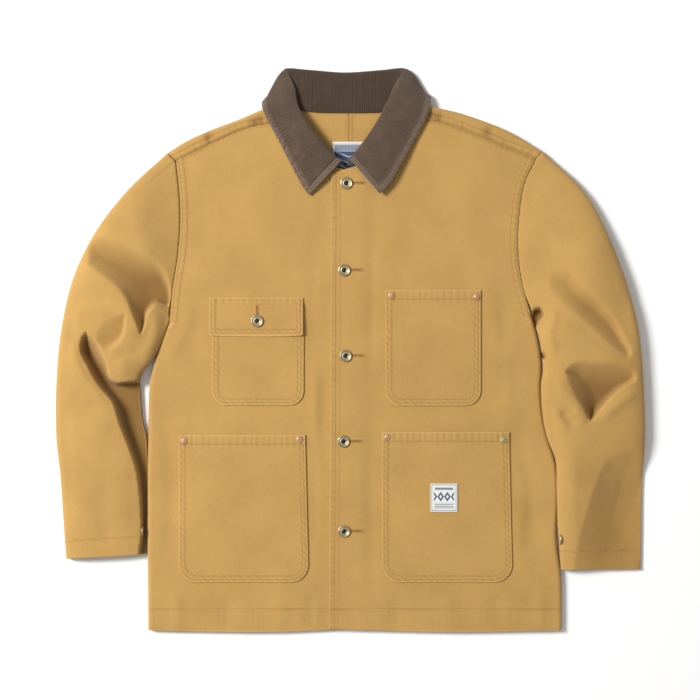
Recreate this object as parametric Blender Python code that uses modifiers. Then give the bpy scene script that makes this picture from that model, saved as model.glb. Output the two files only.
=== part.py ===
"""Chore jacket, buttoned and laid flat with its front up.

Millimetres in the tables, metres in the scene. +X is the wearer's left, +Y runs to the collar and +Z up.
The back lies on the surface, the fronts lie over it, and the sleeves lie beside the body.
"""

import math
from collections import namedtuple

import bmesh
import bpy
import numpy as np

MM = 0.001
OUTLINE_CENTRE = (0.6, 0.6)  # middle of the laid-out jacket on the drawing's axes

CANVAS_WALL = 1.5
COLLAR_WALL = 2.4  # corduroy, interlining and canvas together
LABEL_WALL = 1.0
LAY_GAP = 0.3  # between a piece and what it is sewn on
SEAM_GAP = 0.7  # between the middle surfaces of two panels at a seam
SLEEVE_GAP = 1.2  # between the middle surfaces at an armhole
ARMPIT_GAP = 2.0  # more room where the sleeve turns away from the side

HEM_HEIGHT = 9.6  # middle of the front cloth above the floor, at the hem
CHEST_RISE = 1.6
OVERLAP_STEP = 1.1  # each front moves this far up or down where they overlap
COLLAR_ROOM = 3.3  # the back rises this much over the collar's fall
FOLD_REACH = 4.8  # plan width of the round fold at sides and shoulders

ARMPIT_SHARE = 0.62  # share of a panel's side edge that is below the armpit
NECK_SHARE = 0.86  # share of a panel's inner edge that is below the neckline

PANEL_WIDTH = 275.0
PANEL_LENGTH = 630.0  # armhole, neckline and side all run at about this length for a share of 1
HEM_Y = -387.0
CENTRE_BACK_X = -1.75

Plan = namedtuple("Plan", "side armhole_front armhole_back fold seam front_edge neck_front neck_back hem")
PLANS = {
    "right": Plan(
        side=[(-278, HEM_Y), (-279, -250), (-278, -120), (-275, -43), (-264, 2), (-249, 38)],
        armhole_front=[(-249, 38), (-245, 80), (-237, 133), (-234, 190), (-236, 225), (-240, 261)],
        armhole_back=[(-249, 38), (-243, 80), (-237, 140), (-238, 210), (-251, 272)],
        fold=[(-251, 272), (-229, 286), (-187, 305), (-155, 317), (-122, 331), (-84, 344)],
        seam=[(-240, 261), (-212, 275), (-175, 293), (-149, 304), (-118, 311), (-84, 316)],
        front_edge=[(15, -385), (15, -60), (12, 244)],
        neck_front=[(12, 244), (-8, 249), (-38, 260), (-64, 284), (-80, 305), (-84, 316)],
        neck_back=[(CENTRE_BACK_X, 328), (-50, 329), (-72, 334), (-84, 344)],
        hem=(-278, 15),
    ),
    "left": Plan(
        side=[
            (292, HEM_Y), (291, -312), (284.5, -262), (286, -205), (283, -156),
            (271, -118), (264, -78), (262.5, -50), (264, -24), (259, 14), (250, 47),
        ],
        armhole_front=[(250, 47), (237, 92), (231, 144), (233, 187), (240, 229), (256, 264)],
        armhole_back=[(250, 47), (240, 92), (236, 150), (244, 220), (264, 274)],
        fold=[(264, 274), (219, 301), (177, 318), (150, 327), (124, 333), (76, 344)],
        seam=[(256, 264), (220, 278), (183, 293), (150, 306), (124, 314), (76, 318)],
        front_edge=[(-29, -385), (-27, -60), (-26, 244)],
        neck_front=[(-26, 244), (-8, 249), (24, 260), (48, 284), (68, 306), (76, 318)],
        neck_back=[(CENTRE_BACK_X, 328), (40, 329), (64, 334), (76, 344)],
        hem=(292, -29),
    ),
}

Section = namedtuple("Section", "outer_x outer_y inner_x inner_y height")
SLEEVES = {
    "right": [
        Section(-309, 217, -266, 10, 22),
        Section(-356, 153, -280, -16, 27),
        Section(-381, 98, -291, -34, 28),
        Section(-397, 30, -292, -52, 27),
        Section(-404, -45, -291, -76, 25),
        Section(-404, -124, -288, -118, 25),
        Section(-399, -170, -286.5, -158, 25),
        Section(-396, -215, -286.5, -195, 23),
        Section(-393, -262, -289, -245, 19),
        Section(-391, -288, -288, -282, 17),
    ],
    "left": [
        Section(325, 214, 262, 22, 22),
        Section(363, 140, 270, -4, 27),
        Section(384, 81, 268, -28, 28),
        Section(397, 28, 265, -48, 28),
        Section(403, -30, 266, -78, 27),
        Section(406, -91, 273, -118, 26),
        Section(406, -135, 286, -152, 25),
        Section(403, -190, 290, -195, 23),
        Section(402, -262, 293, -255, 19),
        Section(401, -303, 293, -303, 17),
    ],
}
RING_POINTS = 20
SLEEVE_ROWS = 17

CollarSection = namedtuple("CollarSection", "seam roll edge belly_z")
COLLAR = [
    CollarSection((-9, 253, 15.0), (-13, 259, 16.8), (-56, 213.5, 14.8), 18.4),
    CollarSection((-36, 262, 14.2), (-31, 275, 16.4), (-66, 227, 14.4), 18.2),
    CollarSection((-61, 283, 14.2), (-47, 295, 16.6), (-82, 257, 14.2), 18.2),
    CollarSection((-78, 308, 14.2), (-64, 318, 16.6), (-100, 292, 14.2), 18.2),
    CollarSection((-83, 330, 14.2), (-73, 338, 15.6), (-118, 326, 14.6), 17.4),
    CollarSection((-79, 341, 10.0), (-77, 361, 12.0), (-121, 339.5, 8.0), 13.6),
    CollarSection((-75, 340, 7.6), (-84, 383, 6.6), (-117, 344, 2.2), 6.0),
    CollarSection((-68, 333, 6.6), (-83, 389, 4.2), (-104, 334, 1.3), 1.8),
    CollarSection((-52, 329, 6.5), (-50, 386, 3.9), (-62, 323, 1.3), 1.4),
    CollarSection((-6, 328, 6.5), (-6, 382.5, 3.9), (-6, 321, 1.3), 1.4),
    CollarSection((42, 329, 6.5), (42, 386, 3.9), (50, 323, 1.3), 1.4),
    CollarSection((60, 333, 6.6), (70, 389, 4.2), (96, 336, 1.3), 1.8),
    CollarSection((67, 340, 7.6), (71, 383, 6.6), (106.5, 349, 2.2), 6.0),
    CollarSection((71, 341, 10.0), (61, 363, 12.0), (111, 347, 8.0), 13.6),
    CollarSection((74, 330, 14.2), (51, 340, 15.6), (107, 324, 15.0), 17.6),
    CollarSection((65, 310, 14.2), (42, 321, 16.6), (88, 287, 14.2), 18.2),
    CollarSection((46, 284, 14.2), (30, 301, 16.6), (72, 258, 14.2), 18.2),
    CollarSection((22, 262, 14.2), (16, 281, 16.4), (56, 231, 14.4), 18.2),
    CollarSection((-4, 254, 15.0), (0, 262, 16.8), (41, 214.5, 14.8), 18.4),
]
COLLAR_ALONG = 36
COLLAR_ACROSS = 8

Pocket = namedtuple("Pocket", "name panel left right top bottom lean radius")
POCKETS = [
    Pocket("pocket_chest_right", "right", -190, -64, 58, -76, 0, 20),
    Pocket("pocket_chest_left", "left", 49, 180, 83, -76.5, 0, 21),
    Pocket("pocket_hip_right", "right", -236, -62, -117, -320, 5, 25),
    Pocket("pocket_hip_left", "left", 44, 219, -113, -320, 5, 25),
]
FLAP = Pocket("flap_chest_right", "right", -194, -65, 72, 20, 0, 3)

BUTTON_RADIUS = 8.5
FRONT_BUTTONS = [(-5, 230), (-8, 110), (-6, -8), (-9, -126), (-8, -250)]
FLAP_BUTTON = (-128, 40)
CUFF_BUTTONS = {"right": (-288.5, -250), "left": (293, -261)}
RIVET_RADIUS = 4.8
RIVETS = [
    ("rivet_chest_left_inner", "left", 57, 75),
    ("rivet_chest_left_outer", "left", 174, 73),
    ("rivet_hip_right_outer", "right", -229, -125),
    ("rivet_hip_right_inner", "right", -70, -123),
    ("rivet_hip_left_inner", "left", 51, -120),
    ("rivet_hip_left_outer", "left", 211, -124),
]
POCKET_LABEL = (111, 148, -223, -184)  # left, right, bottom, top
NECK_LABEL = (-24, 22, 246, 288)

CANVAS = ("tan canvas", (0.62, 0.38, 0.13), 0.9, 0.0)
CORDUROY = ("brown corduroy", (0.12, 0.08, 0.05), 0.95, 0.0)
BRASS = ("antique brass", (0.42, 0.34, 0.2), 0.4, 1.0)
COPPER = ("copper rivet", (0.55, 0.36, 0.24), 0.35, 1.0)
WOVEN = ("woven label", (0.75, 0.76, 0.74), 0.8, 0.0)


def smooth_step(low, high, value):
    share = min(max((value - low) / (high - low), 0.0), 1.0)
    return share * share * (3 - 2 * share)


def curve(points, even=False):
    """A function of 0 to 1 that runs smoothly through the points, spaced as they are or evenly."""
    points = np.array(points, float)
    steps = np.ones(len(points) - 1) if even else np.linalg.norm(np.diff(points, axis=0), axis=1)
    along = np.concatenate([[0.0], np.cumsum(steps)]) / steps.sum()
    slopes = np.gradient(points, along, axis=0)

    def at(share):
        i = int(np.clip(np.searchsorted(along, share, "right") - 1, 0, len(points) - 2))
        span = along[i + 1] - along[i]
        t = (share - along[i]) / span
        start = (2 * t**3 - 3 * t**2 + 1) * points[i] + (t**3 - 2 * t**2 + t) * span * slopes[i]
        end = (3 * t**2 - 2 * t**3) * points[i + 1] + (t**3 - t**2) * span * slopes[i + 1]
        return start + end

    return at


def joined(first, second, share):
    """One curve made of two, the first taking that share of the way."""
    return lambda v: first(v / share) if v < share else second((v - share) / (1 - share))


def distance_to(line, x, y):
    """Distance in plan from a point to a curve."""
    points = np.array([line(t) for t in np.linspace(0, 1, 61)])
    starts, spans = points[:-1], np.diff(points, axis=0)
    to = np.array((x, y)) - starts
    share = np.clip((to * spans).sum(axis=1) / (spans**2).sum(axis=1), 0, 1)
    return float(np.linalg.norm(to - share[:, None] * spans, axis=1).min())


def fold_share(distance):
    """How far up its quarter round a folded cloth is, at a distance in from the fold's edge."""
    inset = 1 - min(distance / FOLD_REACH, 1.0)
    return math.sqrt(1 - inset * inset)


def patch(bottom, top, left, right, u, v):
    """Plan point of a panel between its four edges."""
    between = (1 - v) * bottom(u) + v * top(u) + (1 - u) * left(v) + u * right(v)
    low = (1 - u) * bottom(0) + u * bottom(1)
    high = (1 - u) * top(0) + u * top(1)
    return between - (1 - v) * low - v * high


def flat_back_height(y):
    return CANVAS_WALL / 2 + COLLAR_ROOM * smooth_step(225, 312, y)


def flat_front_height(y):
    return HEM_HEIGHT + CHEST_RISE * smooth_step(-400, 150, y)


def fold_height(y):
    """Height of the side seam and of the shoulder's folded edge."""
    return (flat_back_height(y) + flat_front_height(y)) / 2


def front_height(side, x, y):
    """Height of the middle of a front's cloth."""
    flat = flat_front_height(y)
    if side == "right":
        flat -= OVERLAP_STEP * smooth_step(-52, -33, x)
    else:
        flat += OVERLAP_STEP * (1 - smooth_step(12, 36, x))
    low = fold_height(y) + SEAM_GAP / 2
    return low + (flat - low) * fold_share(distance_to(curve(PLANS[side].side), x, y))


def back_height(side, x, y):
    """Height of the middle of a back's lower cloth, which turns up at the side and at the shoulder."""
    plan = PLANS[side]
    at_side = fold_share(distance_to(curve(plan.side), x, y))
    at_shoulder = fold_share(distance_to(curve(plan.fold), x, y))
    low = flat_back_height(y)
    high = fold_height(y)
    height = high - (high - low) * at_shoulder
    seam = high - SEAM_GAP / 2
    return height if at_side >= 1 else seam - (seam - height) * at_side


def strip_height(side, x, y):
    """Height of the back's cloth in front of the shoulder's folded edge."""
    share = fold_share(distance_to(curve(PLANS[side].fold), x, y))
    high = fold_height(y)
    return high + (flat_front_height(y) - high) * share


def panel_columns(count):
    """Shares across a panel: close steps round its side fold, then even ones to its inner edge."""
    steps = [FOLD_REACH * (1 - math.cos(a)) / PANEL_WIDTH for a in (0, math.pi / 6, math.pi / 3, math.pi / 2)]
    start = steps[-1]
    return steps + [start + (1 - start) * i / count for i in range(1, count + 1)]


def panel_levels():
    """Shares up a panel, one of them at the armpit and one at the foot of the neckline."""
    low = [ARMPIT_SHARE * i / 8 for i in range(8)]
    middle = [ARMPIT_SHARE + (NECK_SHARE - ARMPIT_SHARE) * i / 4 for i in range(4)]
    return low + middle + [NECK_SHARE + (1 - NECK_SHARE) * i / 4 for i in range(4)]


def new_object(name, mesh, finish):
    label, colour, roughness, metallic = finish
    material = bpy.data.materials.new(f"{name} {label}")
    material.use_nodes = True
    shader = material.node_tree.nodes["Principled BSDF"]
    shader.inputs["Base Color"].default_value = (*colour, 1)
    shader.inputs["Roughness"].default_value = roughness
    shader.inputs["Metallic"].default_value = metallic
    mesh.materials.append(material)
    obj = bpy.data.objects.new(name, mesh)
    JACKET.objects.link(obj)
    centre_x, centre_y = OUTLINE_CENTRE
    obj.location = (-centre_x * MM, -centre_y * MM, 0)
    return obj


def cloth(name, rows, wall, finish, tube=False):
    """A cloth piece: a grid laid through rows of points on its middle surface, then given its wall."""
    across, along = len(rows[0]) - 1, len(rows) - 1
    work = bmesh.new()
    bmesh.ops.create_grid(work, x_segments=across, y_segments=along, size=1)
    for vert in work.verts:
        i = round((vert.co.x + 1) / 2 * across)
        j = round((vert.co.y + 1) / 2 * along)
        x, y, z = rows[j][i]
        vert.co = (x * MM, y * MM, max(z, wall / 2) * MM)
    if tube:
        bmesh.ops.remove_doubles(work, verts=work.verts, dist=1e-6)
    mesh = bpy.data.meshes.new(name)
    work.to_mesh(mesh)
    work.free()
    mesh.shade_smooth()
    obj = new_object(name, mesh, finish)
    solidify = obj.modifiers.new("Wall", "SOLIDIFY")
    solidify.thickness = wall * MM
    solidify.offset = 0
    return obj


def front_edges(side):
    plan = PLANS[side]
    bottom = curve([(plan.side[0][0], HEM_Y), ((plan.hem[0] + plan.hem[1]) / 2, HEM_Y - 2), plan.front_edge[0]])
    left = joined(curve(plan.side), curve(plan.armhole_front), ARMPIT_SHARE)
    right = joined(curve(plan.front_edge), curve(plan.neck_front), NECK_SHARE)
    return bottom, curve(plan.seam), left, right


def build_front(side):
    edges = front_edges(side)
    columns = panel_columns(8)
    rows = []
    for v in panel_levels() + [1]:
        plan_points = [patch(*edges, u, v) for u in columns]
        rows.append([(x, y, front_height(side, x, y)) for x, y in plan_points])
    cloth(f"front_{side}", rows, CANVAS_WALL, CANVAS)


def back_edges(side):
    plan = PLANS[side]
    shift = SEAM_GAP / 2 * (-1 if side == "right" else 1)
    centre = [(CENTRE_BACK_X + shift, HEM_Y + 2), (CENTRE_BACK_X + shift, 0), (CENTRE_BACK_X + shift, 328)]
    neck = [centre[-1]] + plan.neck_back[1:]
    bottom = curve([plan.side[0], centre[0]])
    left = joined(curve(plan.side), curve(plan.armhole_back), ARMPIT_SHARE)
    right = joined(curve(centre), curve(neck), NECK_SHARE)
    return bottom, curve(plan.fold), left, right


def strip_point(side, u, share):
    """A point of the strip between the shoulder's folded edge and its seam."""
    plan = PLANS[side]
    fold, seam = curve(plan.fold)(u), curve(plan.seam)(u)
    reach = np.linalg.norm(seam - fold)
    x, y = fold + (seam - fold) * share * (1 - SEAM_GAP / reach)
    return x, y, strip_height(side, x, y)


def build_back(side):
    edges = back_edges(side)
    columns = panel_columns(7)
    turn = [1 - FOLD_REACH * (1 - math.cos(a)) / PANEL_LENGTH for a in (math.pi / 2, math.pi / 3, math.pi / 6)]
    rows = []
    for v in panel_levels() + turn + [1]:
        plan_points = [patch(*edges, u, v) for u in columns]
        rows.append([(x, y, back_height(side, x, y)) for x, y in plan_points])
    for share in (0.04, 0.14, 0.35, 1):
        rows.append([strip_point(side, u, share) for u in columns])
    cloth(f"back_{side}", rows, CANVAS_WALL, CANVAS)


def armhole_ring(side):
    """The sleeve's first ring: over the shoulder, down the front armhole, and up the back one."""
    plan = PLANS[side]
    outward = -1 if side == "right" else 1
    front, back = curve(plan.armhole_front), curve(plan.armhole_back)
    half = RING_POINTS // 2
    ring = []
    for i in range(RING_POINTS):
        share = (1 - math.cos(math.pi * (i % half) / half)) / 2
        if i < half:
            if i < 2:
                x, y, z = strip_point(side, 0, share * 10)
            else:
                x, y = front(1 - share)
                z = front_height(side, x, y)
        else:
            x, y = back(share)
            z = back_height(side, x, y)
        armpit_x, armpit_y = plan.side[-1]
        near = 1 - smooth_step(5, 40, math.hypot(x - armpit_x, y - armpit_y))
        ring.append((x + outward * (SLEEVE_GAP + ARMPIT_GAP * near), y + ARMPIT_GAP / 2 * near, z))
    return ring + ring[:1]


def section_ring(section):
    """A flattened round: full on top, flat below, from the outer edge over to the inner edge and back."""
    outer = np.array((section.outer_x, section.outer_y), float)
    inner = np.array((section.inner_x, section.inner_y), float)
    low = CANVAS_WALL / 2
    middle = low + 0.42 * (section.height - low)
    ring = []
    for i in range(RING_POINTS):
        turn = 2 * math.pi * i / RING_POINTS
        share = (1 - math.cos(turn)) / 2
        x, y = outer + (inner - outer) * share
        across = abs(2 * share - 1)
        if i <= RING_POINTS // 2:
            z = middle + (section.height - middle) * (1 - across**2.6) ** (1 / 2.6)
        else:
            z = middle - (middle - low) * (1 - across**6) ** (1 / 6)
        ring.append((x, y, z))
    return ring + ring[:1]


def build_sleeve(side):
    rings = [armhole_ring(side)] + [section_ring(section) for section in SLEEVES[side]]
    lines = [curve([ring[i] for ring in rings]) for i in range(RING_POINTS)]
    rows = []
    for j in range(SLEEVE_ROWS):
        row = [tuple(line(j / (SLEEVE_ROWS - 1))) for line in lines]
        rows.append(row + row[:1])
    cloth(f"sleeve_{side}", rows, CANVAS_WALL, CANVAS, tube=True)


def collar_line(section):
    """Across the collar: up the stand from the neck seam, over the roll and down the fall."""
    seam, roll, edge = (np.array(point, float) for point in section[:3])
    stand = seam + (roll - seam) * 0.5
    stand[2] = seam[2]
    belly = roll + (edge - roll) * 0.28
    belly[2] = section.belly_z
    return curve([seam, stand, roll, belly, edge], even=True)


def build_collar():
    across = [i / COLLAR_ACROSS for i in range(COLLAR_ACROSS + 1)]
    grid = [[collar_line(section)(t) for t in across] for section in COLLAR]
    lines = [curve([row[i] for row in grid], even=True) for i in range(len(across))]
    rows = [[tuple(line(j / COLLAR_ALONG)) for line in lines] for j in range(COLLAR_ALONG + 1)]
    cloth("collar", rows, COLLAR_WALL, CORDUROY)


def laid_patch(pocket, raised, wall):
    """A patch on a front, with its two lower corners rounded."""
    corner = [pocket.radius * (1 - math.cos(a)) for a in np.radians((0, 30, 60, 90))]
    height = pocket.top - pocket.bottom
    steps = corner + [corner[-1] + (height - corner[-1]) * i / 5 for i in range(1, 6)]
    rows = []
    for step in steps:
        y = pocket.bottom + step
        up = max(0.0, 1 - step / pocket.radius)
        inset = pocket.radius * (1 - math.sqrt(1 - up * up))
        flare = pocket.lean * (1 - step / height)
        left, right = pocket.left + inset, pocket.right + flare - inset
        row = []
        for i in range(8):
            x = left + (right - left) * i / 7
            row.append((x, y, front_height(pocket.panel, x, y) + raised(y)))
        rows.append(row)
    cloth(pocket.name, rows, wall, CANVAS)


def on_panel(layers):
    """How far the middle of a canvas layer lies above the middle of the front below it."""
    return layers * (CANVAS_WALL + LAY_GAP)


def build_pockets():
    for pocket in POCKETS:
        laid_patch(pocket, lambda y: on_panel(1), CANVAS_WALL)
    laid_patch(FLAP, lambda y: on_panel(2) - on_panel(1) * smooth_step(60, 68, y), CANVAS_WALL)


def turned(name, profile, finish, steps):
    """A round piece: its profile, from the middle of its top to the middle of its base, spun about Z."""
    mesh = bpy.data.meshes.new(name)
    edges = [(i, i + 1) for i in range(len(profile) - 1)]
    mesh.from_pydata([(r * MM, 0, z * MM) for r, z in profile], edges, [])
    obj = new_object(name, mesh, finish)
    screw = obj.modifiers.new("Turn", "SCREW")
    screw.steps = steps
    screw.render_steps = steps
    screw.use_merge_vertices = True
    screw.merge_threshold = 1e-5
    return obj


def button_profile():
    """A domed ring round a small boss."""
    crest = 0.68 * BUTTON_RADIUS
    return [
        (0, 1.7), (0.2 * BUTTON_RADIUS, 1.6), (0.3 * BUTTON_RADIUS, 0.9), (0.38 * BUTTON_RADIUS, 1.6),
        (crest, 2.6), (0.92 * BUTTON_RADIUS, 2.1), (BUTTON_RADIUS, 1.2), (0.93 * BUTTON_RADIUS, 0.2), (0, 0),
    ]


def rivet_profile():
    return [(0, 1.5), (0.45 * RIVET_RADIUS, 1.35), (0.8 * RIVET_RADIUS, 0.9), (RIVET_RADIUS, 0.3), (RIVET_RADIUS, 0), (0, 0)]


def set_down(obj, x, y, z):
    obj.location.x += x * MM
    obj.location.y += y * MM
    obj.location.z += z * MM


def build_trim():
    on_cloth = CANVAS_WALL / 2 + LAY_GAP
    for number, (x, y) in enumerate(FRONT_BUTTONS, 1):
        obj = turned(f"button_{number}", button_profile(), BRASS, 20)
        set_down(obj, x, y, front_height("left", x, y) + on_cloth)
    x, y = FLAP_BUTTON
    obj = turned("button_flap", button_profile(), BRASS, 20)
    set_down(obj, x, y, front_height("right", x, y) + on_panel(2) + on_cloth)
    for side, (x, y) in CUFF_BUTTONS.items():
        obj = turned(f"button_cuff_{side}", button_profile(), BRASS, 20)
        inward = 1 if side == "right" else -1
        obj.rotation_euler = (0, inward * math.pi / 2, 0)
        set_down(obj, x + inward * on_cloth, y, BUTTON_RADIUS + LAY_GAP)
    for name, side, x, y in RIVETS:
        obj = turned(name, rivet_profile(), COPPER, 14)
        set_down(obj, x, y, front_height(side, x, y) + on_panel(1) + on_cloth)


def build_label(name, box, height):
    left, right, bottom, top = box
    rows = []
    for j in range(3):
        y = bottom + (top - bottom) * j / 2
        xs = [left + (right - left) * i / 2 for i in range(3)]
        rows.append([(x, y, height(x, y) + 2 * LAY_GAP + LABEL_WALL / 2) for x in xs])
    cloth(name, rows, LABEL_WALL, WOVEN)


def build_labels():
    half = CANVAS_WALL / 2
    build_label("label_pocket", POCKET_LABEL, lambda x, y: front_height("left", x, y) + on_panel(1) + half)
    build_label("label_neck", NECK_LABEL, lambda x, y: flat_back_height(y) + half)


for old in list(bpy.data.objects):
    bpy.data.objects.remove(old)
JACKET = bpy.data.collections.new("Chore jacket")
bpy.context.scene.collection.children.link(JACKET)

for wearer_side in ("right", "left"):
    build_back(wearer_side)
    build_front(wearer_side)
    build_sleeve(wearer_side)
build_collar()
build_pockets()
build_trim()
build_labels()
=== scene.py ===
"""Chore jacket in tan canvas with a corduroy collar, buttoned and laid flat with its front up.

Tables are in millimetres on the drawing's axes: +X is the wearer's left, +Y runs to the collar and +Z up.
Meshes are in metres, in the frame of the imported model.
"""

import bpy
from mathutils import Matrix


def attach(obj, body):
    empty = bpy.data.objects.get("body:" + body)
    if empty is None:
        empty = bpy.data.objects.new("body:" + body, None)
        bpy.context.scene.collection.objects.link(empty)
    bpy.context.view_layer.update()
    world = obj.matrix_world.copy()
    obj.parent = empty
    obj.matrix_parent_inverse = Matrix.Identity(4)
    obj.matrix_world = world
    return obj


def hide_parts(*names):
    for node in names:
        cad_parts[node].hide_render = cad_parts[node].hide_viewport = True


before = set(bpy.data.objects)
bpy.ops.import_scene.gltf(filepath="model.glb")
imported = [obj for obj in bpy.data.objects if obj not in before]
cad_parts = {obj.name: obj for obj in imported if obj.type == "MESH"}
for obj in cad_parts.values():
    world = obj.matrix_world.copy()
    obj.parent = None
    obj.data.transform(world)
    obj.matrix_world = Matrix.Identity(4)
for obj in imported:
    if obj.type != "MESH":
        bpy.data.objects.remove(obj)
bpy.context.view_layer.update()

import math
from collections import namedtuple

import bpy
import numpy as np
from bpy.props import FloatProperty, FloatVectorProperty, PointerProperty

bl_info = {
    "name": "Chore Jacket",
    "version": (1, 0, 0),
    "blender": (4, 5, 0),
    "location": "View3D > Sidebar > Jacket",
    "description": "Builds a canvas chore jacket laid flat, piece by piece",
    "category": "Object",
}

MM = 0.001
OUTLINE_CENTRE = (0.6, 0.6)
UP = np.array((0.0, 0.0, 1.0))

SEAM_GAP = 0.3
SLEEVE_GAP = 0.5
ARMPIT_GAP = 2.0
LAY_GAP = 0.3

HEM_HEIGHT = 9.6
CHEST_RISE = 1.6
OVERLAP_STEP = 1.1
COLLAR_ROOM = 3.3
FOLD_REACH = 4.8

ARMPIT_SHARE = 0.62
NECK_SHARE = 0.86
PANEL_WIDTH = 275.0
PANEL_LENGTH = 630.0
HEM_Y = -387.0
CENTRE_BACK_X = -1.75

Plan = namedtuple("Plan", "side armhole_front armhole_back fold seam front_edge neck_front neck_back")
PLANS = {
    "right": Plan(
        side=[(-278, HEM_Y), (-279, -250), (-278, -120), (-275, -43), (-264, 2), (-249, 38)],
        armhole_front=[(-249, 38), (-245, 80), (-237, 133), (-234, 190), (-236, 225), (-240, 261)],
        armhole_back=[(-249, 38), (-243, 80), (-237, 140), (-238, 210), (-251, 272)],
        fold=[(-251, 272), (-229, 286), (-187, 305), (-155, 317), (-122, 331), (-84, 344)],
        seam=[(-240, 261), (-212, 275), (-175, 293), (-149, 304), (-118, 311), (-84, 316)],
        front_edge=[(15, -385), (15, -60), (12, 244)],
        neck_front=[(12, 244), (-8, 249), (-38, 260), (-64, 284), (-80, 305), (-84, 316)],
        neck_back=[(CENTRE_BACK_X, 328), (-50, 329), (-72, 334), (-84, 344)],
    ),
    "left": Plan(
        side=[
            (292, HEM_Y), (291, -312), (284.5, -262), (286, -205), (283, -156),
            (271, -118), (264, -78), (262.5, -50), (264, -24), (259, 14), (250, 47),
        ],
        armhole_front=[(250, 47), (237, 92), (231, 144), (233, 187), (240, 229), (256, 264)],
        armhole_back=[(250, 47), (240, 92), (236, 150), (244, 220), (264, 274)],
        fold=[(264, 274), (219, 301), (177, 318), (150, 327), (124, 333), (76, 344)],
        seam=[(256, 264), (220, 278), (183, 293), (150, 306), (124, 314), (76, 318)],
        front_edge=[(-29, -385), (-27, -60), (-26, 244)],
        neck_front=[(-26, 244), (-8, 249), (24, 260), (48, 284), (68, 306), (76, 318)],
        neck_back=[(CENTRE_BACK_X, 328), (40, 329), (64, 334), (76, 344)],
    ),
}

Section = namedtuple("Section", "outer_x outer_y inner_x inner_y height")
SLEEVES = {
    "right": [
        Section(-309, 217, -266, 10, 22),
        Section(-356, 153, -280, -16, 27),
        Section(-381, 98, -291, -34, 28),
        Section(-397, 30, -292, -52, 27),
        Section(-404, -45, -291, -76, 25),
        Section(-404, -124, -288, -118, 25),
        Section(-399, -170, -286.5, -158, 25),
        Section(-396, -215, -286.5, -195, 23),
        Section(-393, -262, -289, -245, 19),
        Section(-391, -288, -288, -282, 17),
    ],
    "left": [
        Section(325, 214, 262, 22, 22),
        Section(363, 140, 266.5, -4, 27),
        Section(384, 81, 268, -28, 28),
        Section(397, 28, 265, -48, 28),
        Section(403, -30, 266, -78, 27),
        Section(406, -91, 273, -118, 26),
        Section(406, -135, 286, -152, 25),
        Section(403, -190, 290, -195, 23),
        Section(402, -262, 293, -255, 19),
        Section(401, -303, 293, -303, 17),
    ],
}
RING_POINTS = 160
SLEEVE_ROWS = 200

CollarSection = namedtuple("CollarSection", "seam roll edge belly_z bulge", defaults=(0.0,))
COLLAR = [
    CollarSection((-9, 253, 15.0), (-13, 259, 16.8), (-56, 213.5, 14.8), 18.4),
    CollarSection((-36, 262, 14.2), (-31, 275, 19.4), (-66, 227, 14.4), 19.4),
    CollarSection((-61, 283, 14.2), (-47, 295, 21.0), (-82, 257, 14.2), 20.0),
    CollarSection((-78, 308, 14.2), (-64, 318, 21.0), (-100, 292, 14.2), 20.0),
    CollarSection((-83, 330, 14.2), (-73, 338, 15.6), (-118, 326, 14.6), 17.4),
    CollarSection((-79, 341, 10.0), (-77, 361, 12.0), (-121, 339.5, 8.0), 13.6, 2.0),
    CollarSection((-75, 340, 7.6), (-86, 384, 6.6), (-117, 344, 2.2), 6.0, 6.5),
    CollarSection((-68, 333, 6.6), (-83, 389, 4.2), (-104, 334, 1.3), 1.8),
    CollarSection((-52, 329, 6.5), (-50, 386, 3.9), (-62, 323, 1.3), 1.4),
    CollarSection((-6, 328, 6.5), (-6, 382.5, 3.9), (-6, 321, 1.3), 1.4),
    CollarSection((42, 329, 6.5), (42, 386, 3.9), (50, 323, 1.3), 1.4),
    CollarSection((60, 333, 6.6), (70, 389, 4.2), (96, 336, 1.3), 1.8),
    CollarSection((67, 340, 7.6), (73, 384, 6.6), (106.5, 349, 2.2), 6.0, 8.0),
    CollarSection((71, 341, 10.0), (61, 363, 12.0), (111, 347, 8.0), 13.6, 3.0),
    CollarSection((74, 330, 14.2), (51, 340, 15.6), (107, 324, 15.0), 17.6),
    CollarSection((65, 310, 14.2), (42, 321, 16.6), (88, 287, 15.6), 18.6),
    CollarSection((46, 284, 14.2), (30, 301, 16.6), (72, 258, 18.0), 19.4),
    CollarSection((22, 262, 14.2), (16, 281, 16.4), (56, 231, 20.0), 19.8),
    CollarSection((-4, 254, 15.0), (0, 262, 16.8), (41, 214.5, 19.4), 19.0),
]
COLLAR_ALONG = 980
COLLAR_ACROSS = 34

Pocket = namedtuple("Pocket", "name panel left right top bottom lean radius")
POCKETS = [
    Pocket("pocket_chest_right", "right", -190, -64, 58, -76, 0, 20),
    Pocket("pocket_chest_left", "left", 49, 180, 83, -76.5, 0, 21),
    Pocket("pocket_hip_right", "right", -236, -62, -117, -320, 5, 25),
    Pocket("pocket_hip_left", "left", 44, 219, -113, -320, 5, 25),
]
FLAP = Pocket("flap_chest_right", "right", -194, -65, 72, 20, 0, 3)

FRONT_BUTTONS = [(-5, 230), (-8, 110), (-6, -8), (-9, -126), (-8, -250)]
FLAP_BUTTON = (-128, 40)
CUFF_BUTTONS = {"right": (-288.5, -250), "left": (293, -261)}
RIVETS = [
    ("rivet_chest_left_inner", 57, 75),
    ("rivet_chest_left_outer", 174, 73),
    ("rivet_hip_right_outer", -229, -125),
    ("rivet_hip_right_inner", -70, -123),
    ("rivet_hip_left_inner", 51, -120),
    ("rivet_hip_left_outer", 211, -124),
]
POCKET_LABEL = (111, 148, -223, -184)
NECK_LABEL = (-24, 22, 246, 288)

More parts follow.
